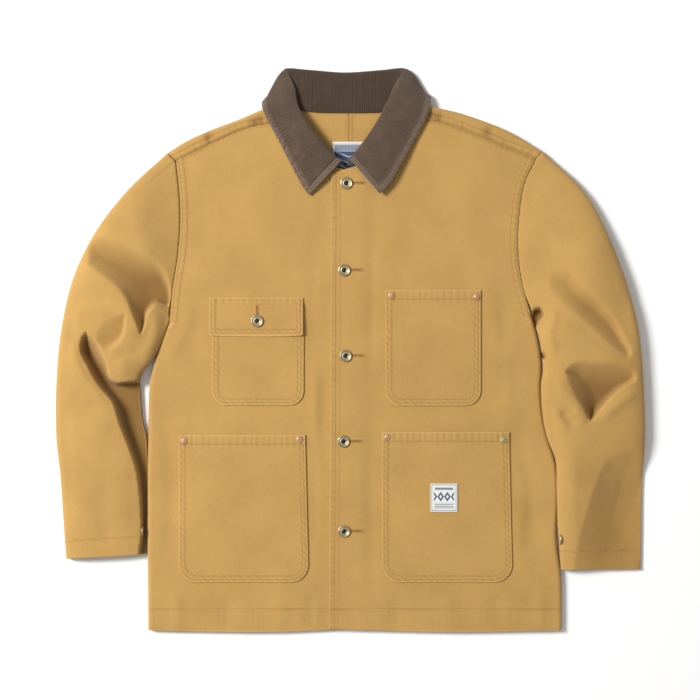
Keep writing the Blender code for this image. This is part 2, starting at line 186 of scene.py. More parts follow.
# A crease is a soft trough or ridge along a path, with its widths to the left and the right of someone who walks
# the path, its depth, and the share of its length over which each end fades.
Crease = namedtuple("Crease", "path left right depth ends", defaults=(0.3,))
FRONT_CREASES = {
    "right": [
        Crease([(-262, -40), (-246, -180), (-252, -330)], 16, 12, -1.0),
        Crease([(-205, 250), (-196, 170), (-214, 96)], 26, 20, -0.9),
        Crease([(-232, 128), (-180, 96), (-120, 92)], 16, 20, 0.8),
        Crease([(-40, 205), (-47, 90), (-42, -60)], 9, 14, -0.8),
        Crease([(-48, -70), (-44, -190), (-52, -340)], 9, 13, -0.7),
        Crease([(-214, -78), (-140, -98), (-78, -88)], 12, 12, 0.7),
        Crease([(-150, 240), (-120, 170), (-126, 100)], 24, 24, 0.7),
        Crease([(-240, -330), (-238, -392)], 9, 9, 0.9),
        Crease([(-168, -334), (-172, -392)], 12, 10, -0.8),
        Crease([(-98, -336), (-94, -392)], 10, 12, 0.8),
        Crease([(-52, -330), (-56, -392)], 8, 8, -0.7),
        Crease([(-262, 30), (-224, 18), (-200, -20)], 9, 14, -0.8),
        Crease([(-258, -20), (-232, 20), (-214, 74)], 16, 9, 0.9),
        Crease([(-40, -10), (-44, -100), (-34, -180)], 10, 8, 0.9),
    ],
    "left": [
        Crease([(250, -30), (236, -120), (252, -240), (262, -340)], 14, 18, -1.1),
        Crease([(226, 120), (206, 40), (212, -70)], 20, 18, -0.9),
        Crease([(236, 40), (216, -10), (222, -96)], 10, 12, 0.8),
        Crease([(60, 226), (84, 150), (74, 96)], 22, 22, -0.8),
        Crease([(150, 250), (160, 180), (140, 100)], 26, 26, 0.8),
        Crease([(26, 170), (30, 60), (24, -60)], 7, 12, -0.7),
        Crease([(30, -90), (26, -200), (32, -340)], 7, 12, -0.6),
        Crease([(60, -92), (120, -102), (200, -92)], 12, 10, 0.7),
        Crease([(262, -326), (264, -392)], 10, 8, 0.9),
        Crease([(206, -330), (202, -392)], 12, 12, -0.9),
        Crease([(134, -332), (138, -392)], 14, 12, 0.8),
        Crease([(66, -330), (62, -392)], 10, 12, -0.7),
        Crease([(230, -130), (238, -200), (226, -300)], 9, 14, 0.9),
        Crease([(196, 90), (202, 10), (196, -70)], 8, 12, 0.8),
    ],
}
BACK_CREASES = [
    Crease([(-200, -300), (-150, -100), (-170, 120)], 30, 22, 1.4),
    Crease([(180, -320), (150, -90), (176, 100)], 22, 30, 1.5),
    Crease([(-90, -380), (-70, -200), (-86, 20)], 20, 26, 1.2),
    Crease([(70, -380), (96, -220), (70, 0)], 26, 18, 1.1),
    Crease([(-236, 120), (-160, 170), (-60, 190)], 16, 26, 1.3),
    Crease([(236, 130), (150, 176), (60, 186)], 26, 16, 1.2),
]
SLEEVE_CREASES = {
    "right": [
        Crease(
            [(-372, 126), (-358, 113), (-333, 95), (-317, 81), (-305, 60), (-293, 32), (-287, 16)],
            7, 16, 2.6, 0.12,
        ),
        Crease([(-278, 58), (-268, 44), (-270, 14), (-286, -14)], 8, 9, 2.6),
        Crease([(-388, 68), (-352, 72), (-322, 64)], 11, 9, -1.7),
        Crease([(-386, 50), (-352, 54), (-322, 50)], 9, 10, 1.5),
        Crease([(-384, 26), (-378, -6), (-366, -34), (-344, -62), (-326, -90)], 5, 14, 2.4),
        Crease([(-316, -10), (-310, -24), (-318, -38)], 12, 12, 1.8),
        Crease([(-322, 4), (-306, -6), (-284, 4)], 8, 8, -1.2),
        Crease([(-392, 60), (-384, 30), (-390, -20)], 8, 8, -1.6),
        Crease([(-390, -66), (-360, -78), (-334, -70)], 12, 14, -1.2),
        Crease([(-336, -84), (-352, -138), (-340, -190)], 16, 16, 1.6),
        Crease([(-398, -60), (-392, -150), (-388, -250)], 12, 20, -1.6),
        Crease([(-372, -120), (-340, -180), (-330, -236)], 14, 16, -1.3),
        Crease([(-300, 214), (-284, 160), (-262, 118)], 20, 16, 2.0),
        Crease([(-362, -190), (-338, -232), (-334, -280)], 14, 12, -1.6),
        Crease([(-396, 40), (-402, -60), (-398, -160), (-394, -250)], 8, 8, 1.2),
    ],
    "left": [
        Crease([(264, 56), (290, 34), (336, 2), (388, -28)], 12, 14, 2.4),
        Crease([(280, -30), (298, -64), (326, -102)], 7, 8, 2.6),
        Crease([(338, -102), (366, -74), (402, -52)], 7, 9, 2.6),
        Crease([(288, -82), (300, -96), (312, -104)], 6, 5, -2.6),
        Crease([(276, -74), (286, -92), (300, -116)], 6, 6, 1.6),
        Crease([(304, -78), (318, -92), (322, -106)], 4, 5, 1.4),
        Crease([(306, -112), (304, -190), (312, -300)], 12, 15, 2.4),
        Crease([(404, -112), (398, -170), (402, -240), (404, -330)], 30, 60, -11.0),
        Crease([(268, 60), (278, 50), (274, 22), (282, -14)], 7, 7, 2.4),
        Crease([(300, 200), (276, 150), (262, 100)], 22, 20, -1.8),
        Crease([(330, 170), (330, 110), (352, 60)], 24, 24, 2.0),
        Crease([(386, 90), (376, 40), (396, 0)], 10, 18, -2.0),
        Crease([(270, -60), (280, -120), (292, -170)], 6, 9, -1.8),
        Crease([(330, -150), (350, -190), (340, -250)], 16, 18, -1.4),
    ],
}

# A hollow is a fold's sunken side. Its outline has a row (x, y, width of the wall there) for each corner, and its
# depth is the share of the cloth's height that is lost.
Hollow = namedtuple("Hollow", "outline depth")
SLEEVE_HOLLOWS = {
    "right": [
        Hollow([
            (-358, 117, 60), (-344, 106, 52), (-330, 96, 46), (-316, 84, 42), (-306, 68, 38), (-300, 52, 28),
            (-293, 36, 18), (-287, 22, 10), (-281, 34, 9), (-278, 50, 9), (-268, 62, 8), (-251, 60, 5),
            (-248, 84, 8), (-254, 104, 16), (-276, 126, 44),
            (-305, 144, 70), (-335, 154, 80), (-360, 140, 50),
        ], 0.78),
        Hollow([
            (-306, 50, 14), (-307, 36, 9), (-309, 22, 9), (-320, 6, 16), (-336, -2, 30), (-348, 10, 44),
            (-340, 34, 60), (-320, 46, 40),
        ], 0.36),
        Hollow([
            (-362, 26, 18), (-370, 13, 11), (-371, 0, 9), (-361, -22, 9), (-351, -41, 9), (-338, -58, 9),
            (-329, -68, 8), (-316, -104, 7), (-303, -138, 6),
            (-294, -166, 5), (-290, -196, 4), (-288, -250, 4),
            (-288, -300, 4), (-250, -300, 2), (-250, -60, 2), (-278, -56, 3), (-291, -43, 5), (-303, -43, 5),
            (-320, -45, 5), (-329, -38, 9), (-332, -22, 18), (-339, -4, 26), (-346, 10, 30), (-356, 20, 26),
        ], 0.86),
        Hollow([
            (-248, 34, 3), (-256, 15, 3), (-265, -7, 3), (-280, -27, 3), (-291, -36, 3), (-284, -60, 2),
            (-240, -60, 2), (-236, 30, 2),
        ], 0.85),
    ],
    "left": [
        Hollow([
            (276, 82, 90), (294, 62, 60), (316, 45, 46), (340, 23, 44),
            (364, 1, 44), (380, -11, 48), (387, -2, 30),
            (378, 16, 22), (364, 42, 22), (346, 64, 30), (322, 90, 56), (298, 110, 80), (276, 104, 90),
        ], 0.62),
        Hollow([
            (293, -28, 56), (307, -62, 42), (319, -80, 26), (332, -97, 8),
            (345, -81, 8), (356, -68, 8), (376, -51, 10),
            (392, -42, 16), (391, -31, 36), (374, -21, 60), (333, -17, 60), (304, -20, 52),
        ], 0.86),
        Hollow([
            (352, -150, 70), (336, -187, 60), (320, -240, 52), (309, -292, 46), (306, -340, 40),
            (430, -340, 60), (430, -240, 90), (424, -170, 90), (392, -140, 90),
        ], 0.42),
        Hollow([
            (247, 46, 3), (254, 56, 3), (264, 57, 4), (268, 50, 4), (261, 38, 3), (257, 24, 3), (260, 8, 3),
            (270, -12, 3), (262, -12, 2), (250, 8, 2), (246, 26, 2),
        ], 0.9),
    ],
}
# Rows (y, how far the layer under the folds reaches towards the body there), going down the sleeve.
SLEEVE_REACH = {
    "right": [
        (60, 0), (30, 3.5), (-4, 6), (-26, 4), (-44, 1), (-96, 2), (-120, 6.5), (-200, 7.5), (-270, 6.5),
        (-296, 4.5),
    ],
    "left": [
        (60, 0), (30, 2), (-20, 1.5), (-60, 0.6), (-150, 1.5), (-190, 4.0), (-240, 5.5), (-280, 3), (-300, 1),
    ],
}

HIDDEN_SLEEVE_CREASES = {
    "right": [
        Crease([(-370, 60), (-330, 20), (-300, 10)], 12, 16, 4.0),
        Crease([(-390, -10), (-350, -40), (-330, -50)], 10, 10, 3.5),
        Crease([(-350, -90), (-340, -180), (-346, -250)], 18, 14, 2.4),
    ],
    "left": [
        Crease([(380, 60), (330, 20), (290, 0)], 14, 12, 4.0),
        Crease([(392, -40), (350, -70), (300, -66)], 10, 12, 3.5),
        Crease([(350, -120), (346, -190), (352, -260)], 14, 18, 2.4),
    ],
}
FRONT_CREASE_GAIN = 1.5
# A hollow is painted darker with its depth, as painted shade, and its floor is no lower than this.
HOLLOW_PAINTED_SHADE = 1.5
HOLLOW_PAINTED_SHADE_POWER = 1.2
HOLLOW_FLOOR = 3.4

# Rows of topstitching, in from the edge that they follow.
ARMHOLE_ROWS = (3.2, 9.8)
FRONT_EDGE_ROWS = (2.4, 6.6)
SHOULDER_ROW = 2.6
BACK_SHOULDER_ROWS = (2.8, 9.0)
POCKET_ROWS = (2.8, 8.4)
FLAP_TOP_ROWS = (3.0, 9.0)
POCKET_MOUTH_ROWS = (13.0,)
CUFF_ROW = 26.0
COLLAR_ROW = 8.0
CENTRE_BACK_ROW = 4.3
HEM_ROW_Y = -356.5
HEM_GROOVE = 31
TICK_SPACING = 3.1
SHOULDER_PUCKERS = [(-133, 313), (-124, 317), (-108, 320), (112, 325), (122, 321), (190, 300), (-196, 293)]


def linear(code):
    """Linear RGB of an sRGB hex colour."""
    values = [int(code[i : i + 2], 16) / 255 for i in (1, 3, 5)]
    return tuple(v / 12.92 if v <= 0.04045 else ((v + 0.055) / 1.055) ** 2.4 for v in values)


def colour_property(name, description, code):
    return FloatVectorProperty(
        name=name, description=description, subtype="COLOR", size=3, min=0, max=1, default=linear(code)
    )


def length_property(name, description, millimetres):
    return FloatProperty(
        name=name, description=description, subtype="DISTANCE", unit="LENGTH", default=millimetres * MM
    )


class ClothSettings(bpy.types.PropertyGroup):
    """Canvas, corduroy and thread"""

    canvas: colour_property("Canvas", "Dyed canvas, as most of it looks", "#BA9251")
    canvas_worn: colour_property("Worn canvas", "Canvas rubbed pale along its edges", "#DDB777")
    # The deep colour is both the dye's darker clouds and the painted shade of hollows, stitch grooves and seam
    # lines.
    canvas_deep: colour_property("Deep canvas", "Where dye sits dark in seams and folds", "#7F5C2C")
    thread: colour_property("Thread", "Topstitching thread", "#C4924A")
    pile: colour_property("Corduroy pile", "Tops of the corduroy's wales", "#554437")
    pile_worn: colour_property("Worn pile", "Pile rubbed pale at the collar's edges", "#A08C7C")
    furrow: colour_property("Corduroy furrow", "Ground between the wales", "#352820")
    wall: length_property("Canvas wall", "Thickness of one canvas layer", 1.5)
    collar_wall: length_property("Collar wall", "Thickness of the made-up collar", 2.4)
    label_wall: length_property("Label wall", "Thickness of a woven label", 1.0)
    wale: length_property("Wale spacing", "Distance from one wale to the next", 3.2)
    wale_height: length_property("Wale height", "Height of a wale above its furrow", 0.65)
    creases: FloatProperty(
        name="Creases", description="Share of their full depth", subtype="FACTOR", default=1, min=0, max=1.5
    )


class TrimSettings(bpy.types.PropertyGroup):
    """Buttons, rivets, stitches and labels"""

    brass: colour_property("Brass", "Antiqued brass of the buttons", "#CBBD9C")
    copper: colour_property("Copper", "Rivet heads", "#D2AA88")
    label_ground: colour_property("Label ground", "Ground weave of the labels", "#E4E4DE")
    label_figure: colour_property("Label figure", "Woven figure on the labels", "#2E4468")
    button_radius: length_property("Button radius", "Radius of a button", 8.5)
    rivet_radius: length_property("Rivet radius", "Radius of a rivet head", 4.8)
    stitch_length: length_property("Stitch length", "Length of one topstitch", 2.9)
    stitch_gap: length_property("Stitch gap", "Gap between two topstitches", 0.8)
    stitch_width: length_property("Stitch width", "Width of the thread", 0.8)


class StageSettings(bpy.types.PropertyGroup):
    """Floor, lights and camera"""

    floor: colour_property("Floor", "Pale seamless paper", "#FCFCFC")
    key_power: FloatProperty(
        name="Key light", description="Power of the main soft light", unit="POWER", default=218
    )
    fill: FloatProperty(name="Fill", description="Strength of the even light all round", default=0.42, min=0)
    height: length_property("Camera height", "Height of the camera above the floor", 2291)
    lens: FloatProperty(name="Lens", description="Focal length", subtype="DISTANCE_CAMERA", default=85)


# Curves and paths


def smooth_step(low, high, value):
    share = np.clip((value - low) / (high - low), 0.0, 1.0)
    return share * share * (3 - 2 * share)


def curve(points, even=False):
    """A function of 0 to 1 that runs smoothly through the points, spaced as they are or evenly."""
    points = np.array(points, float)
    steps = np.ones(len(points) - 1) if even else np.linalg.norm(np.diff(points, axis=0), axis=1)
    along = np.concatenate([[0.0], np.cumsum(steps)]) / steps.sum()
    slopes = np.gradient(points, along, axis=0)
    spare = (1,) * (points.ndim - 1)

    def at(share):
        share = np.asarray(share, float)
        i = np.clip(np.searchsorted(along, share, "right") - 1, 0, len(points) - 2)
        span = along[i + 1] - along[i]
        t = ((share - along[i]) / span).reshape(share.shape + spare)
        span = span.reshape(share.shape + spare)
        start = (2 * t**3 - 3 * t**2 + 1) * points[i] + (t**3 - 2 * t**2 + t) * span * slopes[i]
        end = (3 * t**2 - 2 * t**3) * points[i + 1] + (t**3 - t**2) * span * slopes[i + 1]
        return start + end

    return at


def joined(first, second, share):
    """One curve made of two, the first taking that share of the way."""

    def at(v):
        low, high = first(np.minimum(v / share, 1)), second(np.maximum((v - share) / (1 - share), 0))
        return np.where((v < share)[..., None], low, high)

    return at


def sampled(points, count=60):
    return curve(points)(np.linspace(0, 1, count + 1))


def path_frame(path, x, y):
    """Signed distance from a path, positive on its left, the length along it, and its whole length."""
    best = np.full(np.shape(x), np.inf)
    signed, along, base = np.zeros_like(best), np.zeros_like(best), 0.0
    for start, span in zip(path[:-1], np.diff(path, axis=0)):
        length = np.hypot(*span)
        dx, dy = x - start[0], y - start[1]
        t = np.clip((dx * span[0] + dy * span[1]) / length**2, 0, 1)
        distance = np.hypot(dx - t * span[0], dy - t * span[1])
        near = distance < best
        best = np.where(near, distance, best)
        signed = np.where(near, np.where(span[0] * dy > span[1] * dx, distance, -distance), signed)
        along = np.where(near, base + t * length, along)
        base += length
    return signed, along, base


def offset_path(path, distance):
    """The path moved sideways, to its left."""
    slope = np.gradient(path, axis=0)
    slope /= np.linalg.norm(slope, axis=1)[:, None]
    return path + distance * np.stack([-slope[:, 1], slope[:, 0]], axis=1)


def trimmed(path, start, end):
    """The path without that much length at its start and its end."""
    along = np.concatenate([[0.0], np.cumsum(np.linalg.norm(np.diff(path, axis=0), axis=1))])
    wanted = np.linspace(start, along[-1] - end, len(path))
    return np.stack([np.interp(wanted, along, path[:, k]) for k in range(path.shape[1])], axis=1)


# Cloth relief


def waver(length, start=0.0):
    """An uneven ripple between -1 and 1, with about 9 mm from crest to crest."""
    slow = np.sin(length * 0.70 + 1.3 * np.sin(length / 17 + start) + start)
    return 0.6 * slow + 0.4 * np.sin(length * 1.10 + 1.9 * np.sin(length / 23 + 2 * start))


def crease_relief(creases, x, y):
    total = np.zeros(np.shape(x))
    for crease in creases:
        signed, along, length = path_frame(sampled(crease.path, 24), x, y)
        share = along / length
        taper = smooth_step(0, crease.ends, share) * smooth_step(0, crease.ends, 1 - share)
        width = np.where(signed > 0, crease.left, crease.right)
        total += crease.depth * taper * np.exp(-((signed / width) ** 2))
    return total * bpy.context.scene.jacket_cloth.creases


def hollow_share(hollow, x, y):
    """How far down a hollow's walls each point lies: 0 outside it, 1 on its floor."""
    ring = sampled(hollow.outline + hollow.outline[:1], 5 * len(hollow.outline))
    ring[:, 2] = np.maximum(ring[:, 2], 2)
    share, inside = np.full(np.shape(x), np.inf), np.zeros(np.shape(x), bool)
    for (x0, y0, wall), (x1, y1, next_wall) in zip(ring[:-1], ring[1:]):
        dx, dy = x1 - x0, y1 - y0
        t = np.clip(((x - x0) * dx + (y - y0) * dy) / (dx * dx + dy * dy), 0, 1)
        width = wall + t * (next_wall - wall)
        share = np.minimum(share, np.hypot(x - x0 - t * dx, y - y0 - t * dy) / width)
        inside ^= ((y0 > y) != (y1 > y)) & (x < x0 + dx * (y - y0) / (dy or 1))
    share = np.where(inside, np.clip(share, 0, 1), 0)
    return share * (2 - share)


def broad_relief(x, y):
    """Cloth is never quite flat: shallow hollows and swells a hand's width across."""
    first = np.sin(x / 43 + 0.9 * np.sin(y / 71) + 0.4) * np.sin(y / 58 + 0.8 * np.sin(x / 66))
    second = np.sin(x / 21 - y / 33 + 1.1 * np.sin(y / 47) + 2.0)
    return 0.55 * first + 0.16 * second


def seam_relief(distance, along, rows, swell=0.35, ripple=0.22, start=0.0):
    """Height and tone of a sewn edge: a groove at each row of stitches with painted shade in it, a swell and
    puckers between them.
    """
    height, tone = np.zeros(np.shape(distance)), np.zeros(np.shape(distance))
    for row in rows:
        groove = np.exp(-(((distance - row) / 0.9) ** 2))
        height -= 0.3 * groove
        # Painted shade: the groove is drawn darker.
        tone -= 0.32 * groove
    last = max(rows)
    reach = np.exp(-(((distance - 0.55 * last) / (0.5 * last + 1.6)) ** 2))
    puckers = waver(along, start)
    height += swell * (1 - smooth_step(last, last + 2.5, distance)) + ripple * puckers * reach
    tone += 1.1 * ripple * puckers * reach + 0.7 * np.exp(-((distance / 1.4) ** 2))
    return height, tone


# The jacket's own surfaces


def fold_share(distance):
    inset = 1 - np.clip(np.abs(distance) / FOLD_REACH, 0, 1)
    return np.sqrt(1 - inset * inset)


def flat_back_height(y):
    return wall_of("canvas") / 2 + COLLAR_ROOM * smooth_step(225, 312, y)


def flat_front_height(y):
    return HEM_HEIGHT + CHEST_RISE * smooth_step(-400, 150, y)


def fold_height(y):
    return (flat_back_height(y) + flat_front_height(y)) / 2


def wall_of(kind):
    cloth = bpy.context.scene.jacket_cloth
    return {"canvas": cloth.wall, "collar": cloth.collar_wall, "label": cloth.label_wall}[kind] / MM


def front_height(side, x, y):
    """Height of the middle of a front's cloth, before its relief."""
    flat = flat_front_height(y)
    if side == "right":
        flat = flat - OVERLAP_STEP * smooth_step(-52, -33, x)
    else:
        flat = flat + OVERLAP_STEP * (1 - smooth_step(12, 36, x))
    low = fold_height(y) + 0.35
    return low + (flat - low) * fold_share(path_frame(sampled(PLANS[side].side), x, y)[0])


def back_height(side, x, y):
    plan = PLANS[side]
    at_side = fold_share(path_frame(sampled(plan.side), x, y)[0])
    at_shoulder = fold_share(path_frame(sampled(plan.fold), x, y)[0])
    low, high = flat_back_height(y), fold_height(y)
    height = high - (high - low) * at_shoulder
    seam = high - 0.35
    return np.where(at_side >= 1, height, seam - (seam - height) * at_side)


def strip_height(side, x, y):
    """Height of the back's cloth in front of the shoulder's folded edge."""
    high = fold_height(y)
    return high + (flat_front_height(y) - high) * fold_share(path_frame(sampled(PLANS[side].fold), x, y)[0])


def patch_grid(edges, columns, rows):
    """Plan points of a panel between its four edges."""
    bottom, top, left, right = edges
    u, v = np.asarray(columns)[None, :, None], np.asarray(rows)[:, None, None]
    between = (1 - v) * bottom(columns)[None] + v * top(columns)[None]
    between = between + (1 - u) * left(rows)[:, None] + u * right(rows)[:, None]
    ends = np.array([0.0, 1.0])
    low = (1 - u) * bottom(ends)[0] + u * bottom(ends)[1]
    high = (1 - u) * top(ends)[0] + u * top(ends)[1]
    return between - (1 - v) * low - v * high


def soft_front(side, x, y):
    """Creases and swells of a front, which its pockets follow. They fade where the two fronts overlap."""
    free = 1 - smooth_step(-52, -36, x) if side == "right" else 0.35 + 0.65 * smooth_step(10, 40, x)
    edge = fold_share(path_frame(sampled(PLANS[side].side), x, y)[0])
    creases = FRONT_CREASE_GAIN * crease_relief(FRONT_CREASES[side], x, y)
    return (creases + broad_relief(x, y)) * free * edge


def front_seams(side, x, y):
    """Height and tone that the sewn edges of a front add, the tone with painted shade in its grooves and seam
    lines.
    """
    plan = PLANS[side]
    height, tone = np.zeros(np.shape(x)), np.zeros(np.shape(x))

    hem = np.array([(-400.0, HEM_Y - 2), (400.0, HEM_Y - 2)])
    joins = [
        (sampled(plan.armhole_front), ARMHOLE_ROWS, dict(ripple=0.2, start=1.0)),
        (hem, (HEM_GROOVE,), dict(swell=0.3, ripple=0.07, start=2.0)),
        (sampled(plan.seam), (SHOULDER_ROW,), dict(swell=0.1, ripple=0.16, start=3.0)),
    ]
    if side == "left":
        joins.append((sampled(plan.front_edge), FRONT_EDGE_ROWS, dict(swell=0.35, ripple=0.16, start=4.0)))
    for path, rows, more in joins:
        signed, along, _ = path_frame(path, x, y)
        extra, shade = seam_relief(np.abs(signed), along, rows, **more)
        height, tone = height + extra, tone + shade
    # Painted shade: the armhole and shoulder seams sink and are drawn dark.
    for path in (plan.armhole_front, plan.seam):
        gap = np.exp(-((path_frame(sampled(path), x, y)[0] / 1.3) ** 2))
        height, tone = height - 0.8 * gap, tone - gap
    # Painted shade: a faint groove 13.5 mm in from the front edge is drawn a little darker.
    if side == "left":
        inner = np.exp(-(((path_frame(sampled(plan.front_edge), x, y)[0] + 13.5) / 1.6) ** 2))
        height, tone = height - 0.12 * inner, tone - 0.2 * inner
    return height, np.clip(tone, -1, 1)


def button_pull(side, x, y):
    """The hollow and the short pulls that a fastened button makes."""
    height = np.zeros(np.shape(x))
    if side == "left":
        for bx, by in FRONT_BUTTONS:
            height -= 0.35 * np.exp(-(((x - bx) / 14) ** 2) - ((y - by) / 10) ** 2)
    return height


def front_middle(side, x, y):
    height, _ = front_seams(side, x, y)
    return front_height(side, x, y) + soft_front(side, x, y) + height + button_pull(side, x, y)


def front_top(side, x, y):
    return front_middle(side, x, y) + wall_of("canvas") / 2


def pocket_depth(pocket, x, y):
    """Distance in from a patch pocket's outline, and the length along it."""
    share = np.clip((pocket.top - y) / (pocket.top - pocket.bottom), 0, 1)
    left, right, low = x - pocket.left, pocket.right + pocket.lean * share - x, y - pocket.bottom
    near = np.minimum(left, right)
    r = pocket.radius
    corner = r - np.hypot(np.maximum(r - near, 0), np.maximum(r - low, 0))
    inside = np.where((near < r) & (low < r), corner, np.minimum(near, low))
    return inside, x * 0.83 + y


def on_panel(layers):
    return layers * (wall_of("canvas") + LAY_GAP)


def pocket_middle(pocket, x, y):
    """Height and tone of a patch: turned edges with two rows of stitches, and a hem along its mouth."""
    inside, along = pocket_depth(pocket, x, y)
    height, tone = seam_relief(inside, along, POCKET_ROWS, swell=0.3, ripple=0.24, start=pocket.left)
    mouth = pocket.top - y
    if pocket is FLAP:
        lift = on_panel(2) - on_panel(1) * smooth_step(60, 68, y)
        lift = lift + 1.6 * smooth_step(-92, -66, x) * (1 - smooth_step(20, 58, y))
        extra, shade = seam_relief(mouth, x, FLAP_TOP_ROWS, swell=0.0, ripple=0.25, start=0.7)
    else:
        lift = on_panel(1)
        extra, shade = seam_relief(mouth, x, POCKET_MOUTH_ROWS, swell=0.45, ripple=0.28, start=0.3)
        centre = (pocket.left + pocket.right) / 2
        half = (pocket.right - pocket.left) / 2
        bag = np.clip(1 - ((x - centre) / half) ** 2, 0, 1) * smooth_step(0, 60, y - pocket.bottom)
        lift = lift + 0.9 * bag + 0.35 * np.sin(x / 19 + pocket.bottom) * np.sin(y / 27 + pocket.left) * bag
    base = front_height(pocket.panel, x, y) + soft_front(pocket.panel, x, y)
    return base + lift + height + extra, np.clip(tone + shade, -1, 1)


def sleeve_rings(side):
    """The sleeve's middle surface: rings from armhole to cuff, each from its outer edge over the top."""
    plan = PLANS[side]
    outward = -1 if side == "right" else 1
    half = RING_POINTS // 2
    share = (1 - np.cos(np.pi * np.arange(half) / half)) / 2
    strip_end = 0.06
    over = share < strip_end
    fold, seam = sampled(plan.fold)[0], sampled(plan.seam)[0]
    strip_share = (share / strip_end)[over, None]
    strip = fold + (seam - fold) * strip_share
    front = curve(plan.armhole_front)(1 - (share[~over] - strip_end) / (1 - strip_end))
    back = curve(plan.armhole_back)(share)
    plan_points = np.concatenate([strip, front, back])
    x, y = plan_points.T
    count = len(strip)
    z = np.concatenate([
        strip_height(side, x[:count], y[:count]),
        front_middle(side, x[count:half], y[count:half]),
        back_height(side, x[half:], y[half:]),
    ])
    armpit_x, armpit_y = plan.side[-1]
    near = 1 - smooth_step(5, 40, np.hypot(x - armpit_x, y - armpit_y))
    first = np.stack([x + outward * (SLEEVE_GAP + ARMPIT_GAP * near), y + ARMPIT_GAP / 2 * near, z], axis=1)

    low = wall_of("canvas") / 2
    turn = 2 * np.pi * np.arange(RING_POINTS) / RING_POINTS
    across_share = (1 - np.cos(turn)) / 2
    across = np.abs(2 * across_share - 1)
    rings = [first]
    for section in SLEEVES[side]:
        outer, inner = np.array(section[:2], float), np.array(section[2:4], float)
        middle = low + 0.42 * (section.height - low)
        top = middle + (section.height - middle) * (1 - across**2.6) ** (1 / 2.6)
        under = middle - (middle - low) * (1 - across**6) ** (1 / 6)
        z = np.where(np.arange(RING_POINTS) <= half, top, under)
        rings.append(np.column_stack([outer + (inner - outer) * across_share[:, None], z]))
    rings = np.array(rings)
    rows = np.linspace(0, 1, SLEEVE_ROWS)
    return np.stack([curve(rings[:, i])(rows) for i in range(RING_POINTS)], axis=1)


def grid_normals(grid, wrap=False):
    """Unit normals of a grid of points, upward on average."""
    if wrap:
        around = np.roll(grid, -1, axis=1) - np.roll(grid, 1, axis=1)
    else:
        around = np.gradient(grid, axis=1)
    normals = np.cross(around, np.gradient(grid, axis=0))
    return normals / np.maximum(np.linalg.norm(normals, axis=2, keepdims=True), 1e-9)


def sleeve_surface(side):
    """The creased sleeve, its normals, and the tone of its sewn edges and hollows, the hollows' tone being
    painted shade.
    """
    cloth = bpy.context.scene.jacket_cloth
    grid = sleeve_rings(side)
    normals = grid_normals(grid, wrap=True)
    normals *= 1 if side == "left" else -1
    across_share = (1 - np.cos(2 * np.pi * np.arange(RING_POINTS) / RING_POINTS)) / 2
    heights, reaches = np.array(SLEEVE_REACH[side][::-1]).T
    reach = np.interp(grid[..., 1], heights, reaches) * smooth_step(0.86, 1, across_share)
    grid[..., 0] += reach * (1 if side == "right" else -1)
    x, y = grid[..., 0], grid[..., 1]
    low = wall_of("canvas") / 2
    full = grid[..., 2].max(axis=1, keepdims=True)
    top = np.clip((grid[..., 2] - low) / (full - low), 0, 1) ** 0.55
    under = smooth_step(0.1, 0.6, -normals[..., 2])
    along = np.linalg.norm(np.diff(grid, axis=0, prepend=grid[:1]), axis=2).cumsum(axis=0)
    from_armhole, from_cuff = along, along[-1:] - along
    settle = smooth_step(0, 22, from_armhole)
    relief = crease_relief(SLEEVE_CREASES[side], x, y) + 1.3 * broad_relief(x * 1.15 + 80, y * 1.1)
    hidden = crease_relief(HIDDEN_SLEEVE_CREASES[side], x, y)
    around = np.arange(RING_POINTS)[None] * 3.1
    hem, tone = seam_relief(from_cuff, around, (CUFF_ROW,), swell=0.25, ripple=0.05, start=5.0)
    join, shade = seam_relief(from_armhole, around * 1.3, (1.0,), swell=0.0, ripple=0.3, start=6.0)
    # Painted shade: the armhole seam sinks and is drawn dark.
    gap = np.exp(-((from_armhole / 1.3) ** 2))
    upper = np.arange(RING_POINTS) <= RING_POINTS // 2
    kept = np.ones(x.shape)
    for hollow in SLEEVE_HOLLOWS[side]:
        kept *= 1 - hollow.depth * cloth.creases * hollow_share(hollow, x, y)
    kept = 1 - (1 - kept) * smooth_step(0, 5, from_armhole)
    grid[..., 2] = np.where(upper, low + (grid[..., 2] - low) * kept, grid[..., 2])
    creased = grid[..., 2] + relief * top * settle
    grid[..., 2] = np.where(upper, np.maximum(creased, np.minimum(grid[..., 2], HOLLOW_FLOOR)), creased)
    grid = grid + normals * ((hem + join - 0.8 * gap) * (0.25 + 0.75 * top))[..., None]
    grid[..., 2] += hidden * under * settle
    # Painted shade: the deeper a hollow, the darker its cloth is drawn.
    painted_shade = HOLLOW_PAINTED_SHADE * (1 - kept) ** HOLLOW_PAINTED_SHADE_POWER
    return grid, normals, np.clip(tone + shade - gap - painted_shade, -1, 1)


